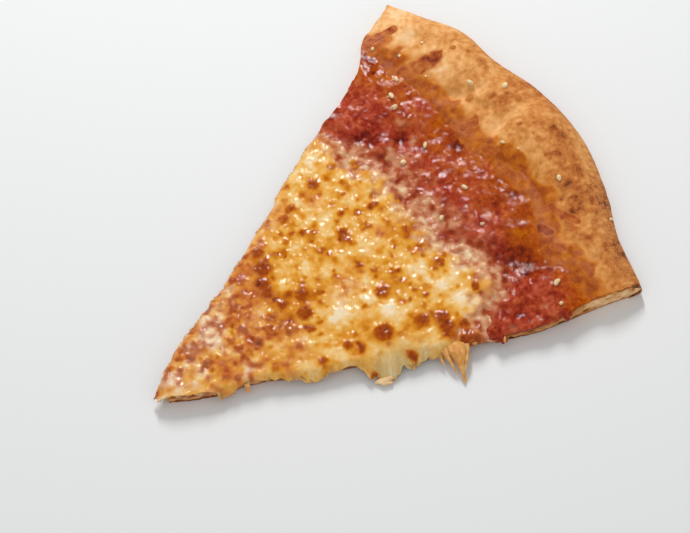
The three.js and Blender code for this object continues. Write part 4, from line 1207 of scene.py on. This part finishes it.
def baked_dough():
    """Bread dough, stretched by hand and baked: a dry, leathery, tan skin, paler in its creases, with
    brown pits, flour on its flank, and a pale open crumb where it is cut."""
    material, tree, at, toast_and_shading, stain, smear, crumb, flour = new_material(
        "baked_dough", "toast_and_shading", "stain", "smear", "crumb", "flour",
    )
    # Bubbles under the skin, about two millimetres wide, brown it unevenly
    mottle = add(tree, "ShaderNodeTexNoise", {
        "Vector": at, "Scale": per_metre(2.2), "Detail": 5, "Roughness": 0.65,
    })
    # The toast mask holds real toasting together with painted light and shade: paler at the rim's left end
    # and on the cut face near the tip, darker on the rim's right side, its outer flank and in the crumb's
    # holes.
    uneven = shifted(tree, toast_and_shading, mottle, 0.75)
    skin = add(tree, "ShaderNodeValToRGB", {"Fac": uneven}, [
        (0.0, "#fad09c"), (0.2, "#f3b878"), (0.4, "#e3a05a"), (0.6, "#cc803c"), (0.75, "#b4642a"),
        (0.88, "#8e4216"), (1.0, "#4c1e0c"),
    ])
    # Oil that ran out of the sauce
    grease = add(tree, "ShaderNodeValToRGB", {"Fac": shifted(tree, stain, mottle, 0.8)}, [
        (0.1, "#dc9646"), (0.35, "#d07a1e"), (0.6, "#be640a"), (0.9, "#9e4406"),
    ])
    soaked = add(tree, "ShaderNodeMapRange", {"Value": stain, "From Max": 0.45})
    oiled = add(tree, "ShaderNodeMix", {FACTOR: soaked, FIRST: skin, SECOND: grease}, out=BLEND,
                data_type="RGBA")
    # Sauce that dried on the rim
    crusty = add(tree, "ShaderNodeValToRGB", {"Fac": shifted(tree, smear, mottle, 0.7)}, [
        (0.25, "#cc7c34"), (0.5, "#bc6226"), (0.7, "#a44a1a"), (0.88, "#843212"), (1.0, "#5c200e"),
    ])
    covered = add(tree, "ShaderNodeMapRange", {"Value": smear, "From Max": 0.6})
    smeared = add(tree, "ShaderNodeMix", {FACTOR: covered, FIRST: oiled, SECOND: crusty}, out=BLEND,
                  data_type="RGBA")
    # Flour is a tenth of this size, too fine to show, so it is drawn in specks of half a millimetre
    dust = add(tree, "ShaderNodeTexNoise", {
        "Vector": at, "Scale": per_metre(0.5), "Detail": 2, "Roughness": 0.7,
    })
    specks = add(tree, "ShaderNodeMapRange", {
        "Value": dust, "From Min": 0.48, "From Max": 0.66, "To Max": 0.4,
    })
    dusty = add(tree, "ShaderNodeMath", {0: specks, 1: flour}, operation="MULTIPLY")
    floured = add(tree, "ShaderNodeMix", {FACTOR: dusty, FIRST: smeared, SECOND: linear("#e2be86")},
                  out=BLEND, data_type="RGBA")
    inside = add(tree, "ShaderNodeValToRGB", {"Fac": uneven}, [
        (0.0, "#f6d6a6"), (0.3, "#ebb87e"), (0.5, "#d2955a"), (0.7, "#a8642e"), (0.86, "#783c16"),
        (1.0, "#48240c"),
    ])
    colour = add(tree, "ShaderNodeMix", {FACTOR: crumb, FIRST: floured, SECOND: inside}, out=BLEND,
                 data_type="RGBA")
    # The skin's own grain is a third of this size, too fine to show, and is drawn coarser
    grain = add(tree, "ShaderNodeTexNoise", {
        "Vector": at, "Scale": per_metre(0.7), "Detail": 4, "Roughness": 0.7,
    })
    rough = add(tree, "ShaderNodeMapRange", {
        "Value": stain, "From Max": 0.7, "To Min": 0.72, "To Max": 0.3,
    })
    finish_material(tree, colour, rough, grain, {
        "IOR": 1.45, "Specular IOR Level": 0.2, "Subsurface Weight": 0.1,
        "Subsurface Radius": (1.0, 0.6, 0.35), "Subsurface Scale": 1.0 * MM,
    }, bump_mm=0.35, bump_strength=0.6)
    return material


def dry_cheese():
    """Grated hard cheese that dried out in the oven: small cream-coloured grains with a waxy face."""
    material, tree, at = new_material("dry_grated_cheese")
    cloud = add(tree, "ShaderNodeTexNoise", {
        "Vector": at, "Scale": per_metre(0.8), "Detail": 3, "Roughness": 0.6,
    })
    colour = add(tree, "ShaderNodeValToRGB", {"Fac": cloud}, [
        (0.3, "#d9ab6a"), (0.5, "#efd6a2"), (0.7, "#f6e9c6"),
    ])
    rough = add(tree, "ShaderNodeMapRange", {"Value": cloud, "To Min": 0.4, "To Max": 0.6})
    finish_material(tree, colour, rough, cloud, {
        "IOR": 1.45, "Subsurface Weight": 0.3, "Subsurface Radius": (1.0, 0.7, 0.4),
        "Subsurface Scale": 0.8 * MM,
    })
    return material


# ---- The three layers ----
def crumb_toast_and_shading(x, y, z, radius):
    """How brown the cut dough is: dark near its faces and under the sauce, with painted shade in its holes
    and painted light on its cut face near the tip.
    """
    core = smooth(z, 0.6, 1.6) * smooth(dough_top(x, y) - z, 0.1, 0.9)
    # Painted shade: the crumb's holes are made darker.
    holes = smooth(waves(CRUMB_HOLES, (x, y, z)), 0, 0.4)
    covered = smooth(radius, *CRUMB_SOAKED)
    # Darker under the sauce. Painted light makes the shaded cut face paler towards the tip.
    under_sauce_and_tip_light = covered * (0.3 - 0.06 * smooth(radius, 90, 30))
    uneven = 0.5 * holes + waves(CRUMB_MOTTLE, (x, y, z))
    return 0.26 + 0.26 * (1 - core) + under_sauce_and_tip_light + uneven * mix(0.8, 0.3, covered)


def dough_looks(skin, points):
    """Where the dough is toasted, stained, smeared, floured and cut, and where light and shade are painted
    on it.
    """
    x, y, z = points.T
    radius, bearing = polar(x, y)
    inwards = rim_radius(bearing) - radius
    flank = smooth(inwards, *FLANK_IN) * smooth(bearing, *FLANK_BEARINGS)
    wx, wy = wander(DOUGH_WANDER, x, y)
    sx, sy = wander(PIT_WANDER, x, y)
    cut_face, underside = skin.looks()["cut_face"], skin.looks()["underside"]
    top = (1 - cut_face) * (1 - underside)
    pale = forms(RIM_PALE, wx, wy) - creases(DOUGH_CREASES, wx, wy) * 0.35
    # Painted light: the rim's left end, which faces the lamp, is made paler. Painted shade: its right side
    # is made darker.
    left, right = (smooth(bearing, *reach) for reach in LIGHT_AND_SHADE_BEARINGS)
    toast_and_shading = 0.33 + 0.17 * left + 0.06 * right
    # Painted shade: the outer flank on the rim's right side, turned away from the lamp, is made darker.
    # The same flank mask also places the flour.
    toast_and_shading += 0.3 * forms(RIM_TOASTED, wx, wy) - 0.26 * pale + 0.1 * flank
    toast_and_shading += waves(DOUGH_MOTTLE, (wx, wy)) + 0.11 * wave((x, y), 1.4, 227)
    spots = np.zeros_like(x)
    for cx, cy, size, strength in RIM_SPOTS:
        spots = np.maximum(spots, strength * smooth(np.hypot(sx - cx, sy - cy) / size, 1.25, 0.55))
    spotted = toast_and_shading + (0.85 - toast_and_shading) * np.clip(spots, 0, 1)
    toast_and_shading = np.maximum(toast_and_shading, spotted) + 0.2 * np.maximum(spots - 1, 0) + 0.1 * smooth(z, 4, 1)
    toast_and_shading = mix(toast_and_shading, crumb_toast_and_shading(x, y, z, radius), cut_face)
    toast_and_shading = mix(toast_and_shading, 0.72 + 0.12 * wave((x, y), 6, 251), underside)
    smear = np.zeros_like(x)
    for *line, half_width, strength in SMEARS:
        away = off_line(sx, sy, *line) / half_width
        body = smooth(away, 1.25, 0.6) * (0.6 + 0.18 * smooth(away, 0.3, 0.9))
        smear = np.maximum(smear, strength * body)
    smear *= 1 + waves(SMEAR_MOTTLE, (x, y))
    ragged = radius - sauce_radius(bearing) + waves(STAIN_EDGE, (wx, wy))
    strong, weak = (smooth(ragged, *reach) for reach in STAIN_REACH)
    stain = strong + 0.3 * weak * (0.5 + 0.5 * wave((wx, wy), 4, 241))
    stain = np.clip(stain, 0, 1) * (0.74 + waves(STAIN_MOTTLE, (sx, sy)))
    return {
        "toast_and_shading": np.clip(toast_and_shading, 0, 1), "stain": np.clip(stain, 0, 1) * top,
        "smear": np.clip(smear, 0, 1) * top, "crumb": cut_face, "flour": np.clip(flank * top, 0, 1),
    }


def crust(dough):
    skin = dough_skin()
    points, faces = skin.points(), skin.triangles()
    radius, bearing = polar(points[:, 0], points[:, 1])
    bare = smooth(radius - sauce_radius(bearing), *WRINKLES_FROM)
    raised = (1 - skin.looks()["underside"]) * smooth(points[:, 2], 0.5, 2.5)
    wrinkles = waves(CRUST_WRINKLES, points.T) * raised * bare
    points = points + point_normals(points, faces) * wrinkles[:, None]
    points[:, 2] = np.maximum(points[:, 2], 0)
    make_piece("baked_crust", points, faces, dough_looks(skin, points), dough, ["crust"])


def toppings(dough):
    sauce, cheese = tomato_sauce(), mozzarella()
    for name, skin, material, node in (
        ("sauce_layer", sauce_skin(), sauce, "tomato_sauce"),
        ("cheese_layer", cheese_skin(), cheese, "melted_cheese"),
    ):
        make_piece(name, skin.points(), skin.triangles(), skin.looks(), material, [node])
    torn = threads(RIGHT_FRINGES, RIGHT, RIGHT_LIP, 367) + threads(LEFT_FRINGES, LEFT, LEFT_LIP, 373)
    pulled = {"browning": (0.22, 0.14), "blush": (0.38, 0.3), "clear": (0.1, 0.25)}
    strands("pulled_cheese", CHEESE_STRANDS, pulled, cheese, 301, torn)
    strands("torn_crumb", TORN_CRUMB, {"toast_and_shading": (0.12, 0.3), "crumb": (1, 0)}, dough, 351)
    dripped = {"tone": (0.4, 0.3), "oily": (0.1, 0.3)}
    strands("sauce_drips", SAUCE_STRANDS, dripped, sauce, 401)


# ---- Grains ----
def ball(rings, sides):
    """A closed ball of radius 1 made of rings."""
    turn = np.arange(sides) * 2 * np.pi / sides
    ring = np.stack([np.cos(turn), np.sin(turn), np.ones(sides)], -1)
    rise = np.linspace(-np.pi / 2, np.pi / 2, rings + 2)[1:-1]
    body = [ring * (math.cos(angle), math.cos(angle), math.sin(angle)) for angle in rise]
    points = np.concatenate([[[0, 0, -1.0]], *body, [[0, 0, 1.0]]])
    faces = []
    for k in range(sides):
        after = (k + 1) % sides
        top = 1 + (rings - 1) * sides
        faces += [[0, 1 + after, 1 + k], [top + k, top + after, len(points) - 1]]
        for low in range(1, top, sides):
            high = low + sides
            faces += [[low + k, low + after, high + k], [low + after, high + after, high + k]]
    return points, np.array(faces)


def grains(name, spots, material, height, seed, rings=6, sides=9, looks=None):
    """Uneven grains, half sunk into what they lie on, joined in one piece."""
    draw = np.random.default_rng(seed)
    body, body_faces = ball(rings, sides)
    blocks, faces = [], []
    spots = np.asarray(spots, float)
    for (x, y, radius), z in zip(spots, height(spots[:, 0], spots[:, 1])):
        shape = body * ((1.15, 0.85, 0.7) * draw.uniform(0.8, 1.2, 3))
        shape = shape * (1 + 0.22 * wave(body.T + draw.uniform(0, 90, 3)[:, None], 0.8, seed))[:, None]
        turn = Matrix.Rotation(draw.uniform(0, 2 * math.pi), 3, "Z")
        turn = turn @ Matrix.Rotation(draw.uniform(-0.4, 0.4), 3, "X")
        faces.append(body_faces + len(blocks) * len(body))
        blocks.append(shape @ np.array(turn).T * radius + [x, y, z + radius * 0.3])
    points = np.concatenate(blocks)
    masks = {mask: np.full(len(points), value) for mask, value in (looks or {}).items()}
    make_piece(name, points, np.concatenate(faces), masks, material)


def dry_grains():
    waxy = dry_cheese()
    grains("grated_grains_on_rim", GRATED_ON_RIM, waxy, dough_top, 31)
    grains("grated_grains_on_sauce", GRATED_ON_SAUCE, waxy, sauce_top, 37)


def cornmeal(dough):
    """Coarse meal and flour that stuck to the outer flank of the rim."""
    draw = np.random.default_rng(41)
    bearing = draw.triangular(*MEAL_BEARINGS, MEAL_COUNT)
    inwards = draw.uniform(*MEAL_INWARDS, MEAL_COUNT)
    x, y = place(rim_radius(bearing) - inwards, bearing)
    spots = np.stack([x, y, draw.uniform(*MEAL_RADII, MEAL_COUNT)], -1)
    grains("cornmeal_on_flank", spots, dough, dough_top, 43, 3, 6, {"toast_and_shading": 0.26})


# ---- Strands and threads ----
def strand(path, seed, rings, sides):
    """A tapering strand of cheese or sauce with lengthwise folds, closed at both ends."""
    handles = [[k, *spot] for k, spot in enumerate(path)]
    along = np.linspace(0, len(path) - 1, rings)
    centre = np.stack([curve(handles, along, column) for column in (1, 2, 3)], -1)
    width = curve(handles, along, 4)
    forward = np.gradient(centre, axis=0)
    sideways = np.stack([forward[:, 1], -forward[:, 0], np.zeros(rings)], -1)
    sideways /= np.linalg.norm(sideways, axis=1)[:, None]
    upwards = np.cross(sideways, forward)
    upwards /= np.linalg.norm(upwards, axis=1)[:, None]
    turn, step = np.meshgrid(-2 * np.pi * np.arange(sides) / sides, np.arange(rings))
    fibre = ripple((5 * np.cos(turn), 2 * np.sin(turn), step / 22), 1, seed)
    folds = 1 + 0.15 * fibre + 0.16 * ripple((np.cos(turn), np.sin(turn), step / 6), 1, seed + 1)
    size = width[step] * folds
    body = (
        centre[step]
        + sideways[step] * (size * np.cos(turn))[:, :, None]
        + upwards[step] * (size * STRAND_FLAT * np.sin(turn))[:, :, None]
    ).reshape(-1, 3)
    side = np.arange(sides)
    after = (side + 1) % sides
    low = (np.arange(rings - 1) * sides)[:, None]
    near, near_next, far, far_next = low + side, low + after, low + sides + side, low + sides + after
    start, end, last = np.full(sides, len(body)), np.full(sides, len(body) + 1), len(body) - sides
    faces = [
        np.stack([near, near_next, far], -1).reshape(-1, 3),
        np.stack([near_next, far_next, far], -1).reshape(-1, 3),
        np.stack([after, side, start], -1),
        np.stack([last + side, last + after, end], -1),
    ]
    return np.concatenate([body, centre[:1], centre[-1:]]), np.concatenate(faces), [*fibre.ravel(), 0, 0]


def threads(fringes, side, lip, seed):
    """Paths of the thin threads in the torn fringes, each bending down as it leaves the lip."""
    draw = np.random.default_rng(seed)
    paths = []
    for middle, count, half_width, pull, drop, gather in fringes:
        at = np.clip(draw.normal(0, 0.5, count), -1, 1)
        radius = middle + at * half_width
        length = draw.uniform(0.2, 1, count) * (1 - 0.6 * np.abs(at))
        lean = draw.normal(0, 0.4, count) - gather * at * half_width
        half = draw.uniform(*THREAD_HALF, count)
        start = lip_reach(lip, side, radius) - THREAD_ROOT
        root = place(radius, cut_bearing(side, radius, start))
        height = cheese_top(*root) - lip_drop(lip, side, radius, start) - LIP_THICK / 2
        height = np.maximum(height, LOWEST_HANG + LIP_THICK / 2)
        rows = []
        for share, thin in zip((0, 0.5, 1), (1.4, 1, 0.35)):
            out = start + share * (THREAD_ROOT + pull * length)
            x, y = place(radius + share * lean * length, cut_bearing(side, radius, out))
            sunk = np.maximum(height - drop * length * share**1.5, LOWEST_HANG)
            rows.append([x, y, sunk, thin * half])
        paths += list(np.transpose(rows, (2, 0, 1)))
    return paths


def strands(name, paths, masks, material, seed, thin_paths=()):
    """Strands joined in one piece, with a [middle, swing] for each named mask."""
    blocks, faces, fibres, count = [], [], [], 0
    made_of = [(path, STRAND_RINGS, STRAND_SIDES) for path in paths]
    made_of += [(path, THREAD_RINGS, THREAD_SIDES) for path in thin_paths]
    for k, (path, rings, sides) in enumerate(made_of):
        points, made, fibre = strand(path, seed + 10 * k, rings, sides)
        blocks.append(points)
        fibres += fibre
        faces.append(made + count)
        count += len(points)
    points = np.concatenate(blocks)
    streaks = 0.6 * np.array(fibres) + 0.6 * ripple(points.T, 1.6, seed)
    looks = {mask: np.clip(base + swing * streaks, 0, 1) for mask, (base, swing) in masks.items()}
    make_piece(name, points, np.concatenate(faces), looks, material)


# ---- Table, light and camera ----
def table():
    """A board with a matt white lacquer, which spreads the light evenly."""
    mesh = bpy.data.meshes.new("table")
    corners = [(x * TABLE_HALF, y * TABLE_HALF, 0) for x, y in ((-1, -1), (1, -1), (1, 1), (-1, 1))]
    mesh.from_pydata(corners, [], [(0, 1, 2, 3)])
    material = bpy.data.materials.new("matt_white_table")
    material.use_nodes = True
    shader = material.node_tree.nodes["Principled BSDF"]
    shader.inputs["Base Color"].default_value = linear("#e9eaea")
    shader.inputs["Roughness"].default_value = 0.6
    mesh.materials.append(material)
    plane = bpy.data.objects.new("table", mesh)
    bpy.context.scene.collection.objects.link(plane)


def lights():
    """A room that is brighter on one side, a weak window and a small strong lamp for the glints."""
    world = bpy.data.worlds.new("studio")
    bpy.context.scene.world = world
    world.use_nodes = True
    background = world.node_tree.nodes["Background"]
    background.inputs["Color"].default_value = linear("#ffffff")
    towards = add(world.node_tree, "ShaderNodeTexCoord", out="Generated")
    facing = add(world.node_tree, "ShaderNodeVectorMath", {0: towards, 1: BRIGHT_SIDE}, out="Value",
                 operation="DOT_PRODUCT")
    glow = add(world.node_tree, "ShaderNodeMapRange", {"Value": facing, **ROOM_GLOW})
    world.node_tree.links.new(glow, background.inputs["Strength"])
    for name, spot, size, power in LAMPS:
        light = bpy.data.lights.new(name, "AREA")
        light.shape = "RECTANGLE"
        light.size, light.size_y = size
        light.energy = power
        made = bpy.data.objects.new(name, light)
        made.location = spot
        made.rotation_euler = (-Vector(spot)).to_track_quat("-Z", "Y").to_euler()
        bpy.context.scene.collection.objects.link(made)


def camera():
    """Looks at the slice from its right side, tilted a little."""
    azimuth, elevation, roll = (math.radians(a) for a in (VIEW_AZIMUTH, VIEW_ELEVATION, VIEW_ROLL))
    outwards = math.cos(elevation)
    back = Vector((math.sin(azimuth) * outwards, -math.cos(azimuth) * outwards, math.sin(elevation)))
    level_right = Vector((math.cos(azimuth), math.sin(azimuth), 0))
    level_up = back.cross(level_right)
    right = level_right * math.cos(roll) - level_up * math.sin(roll)
    up = level_right * math.sin(roll) + level_up * math.cos(roll)
    view = bpy.data.cameras.new("view")
    view.lens = LENS
    view.sensor_width = SENSOR
    made = bpy.data.objects.new("view", view)
    spot = Vector(VIEW_TARGET) + back * VIEW_DISTANCE
    made.matrix_world = Matrix((
        (right.x, up.x, back.x, spot.x), (right.y, up.y, back.y, spot.y), (right.z, up.z, back.z, spot.z),
        (0, 0, 0, 1),
    ))
    bpy.context.scene.collection.objects.link(made)
    bpy.context.scene.camera = made


dough = baked_dough()
crust(dough)
toppings(dough)
dry_grains()
cornmeal(dough)
table()
lights()
camera()
bpy.context.scene.view_settings.view_transform = "Standard"
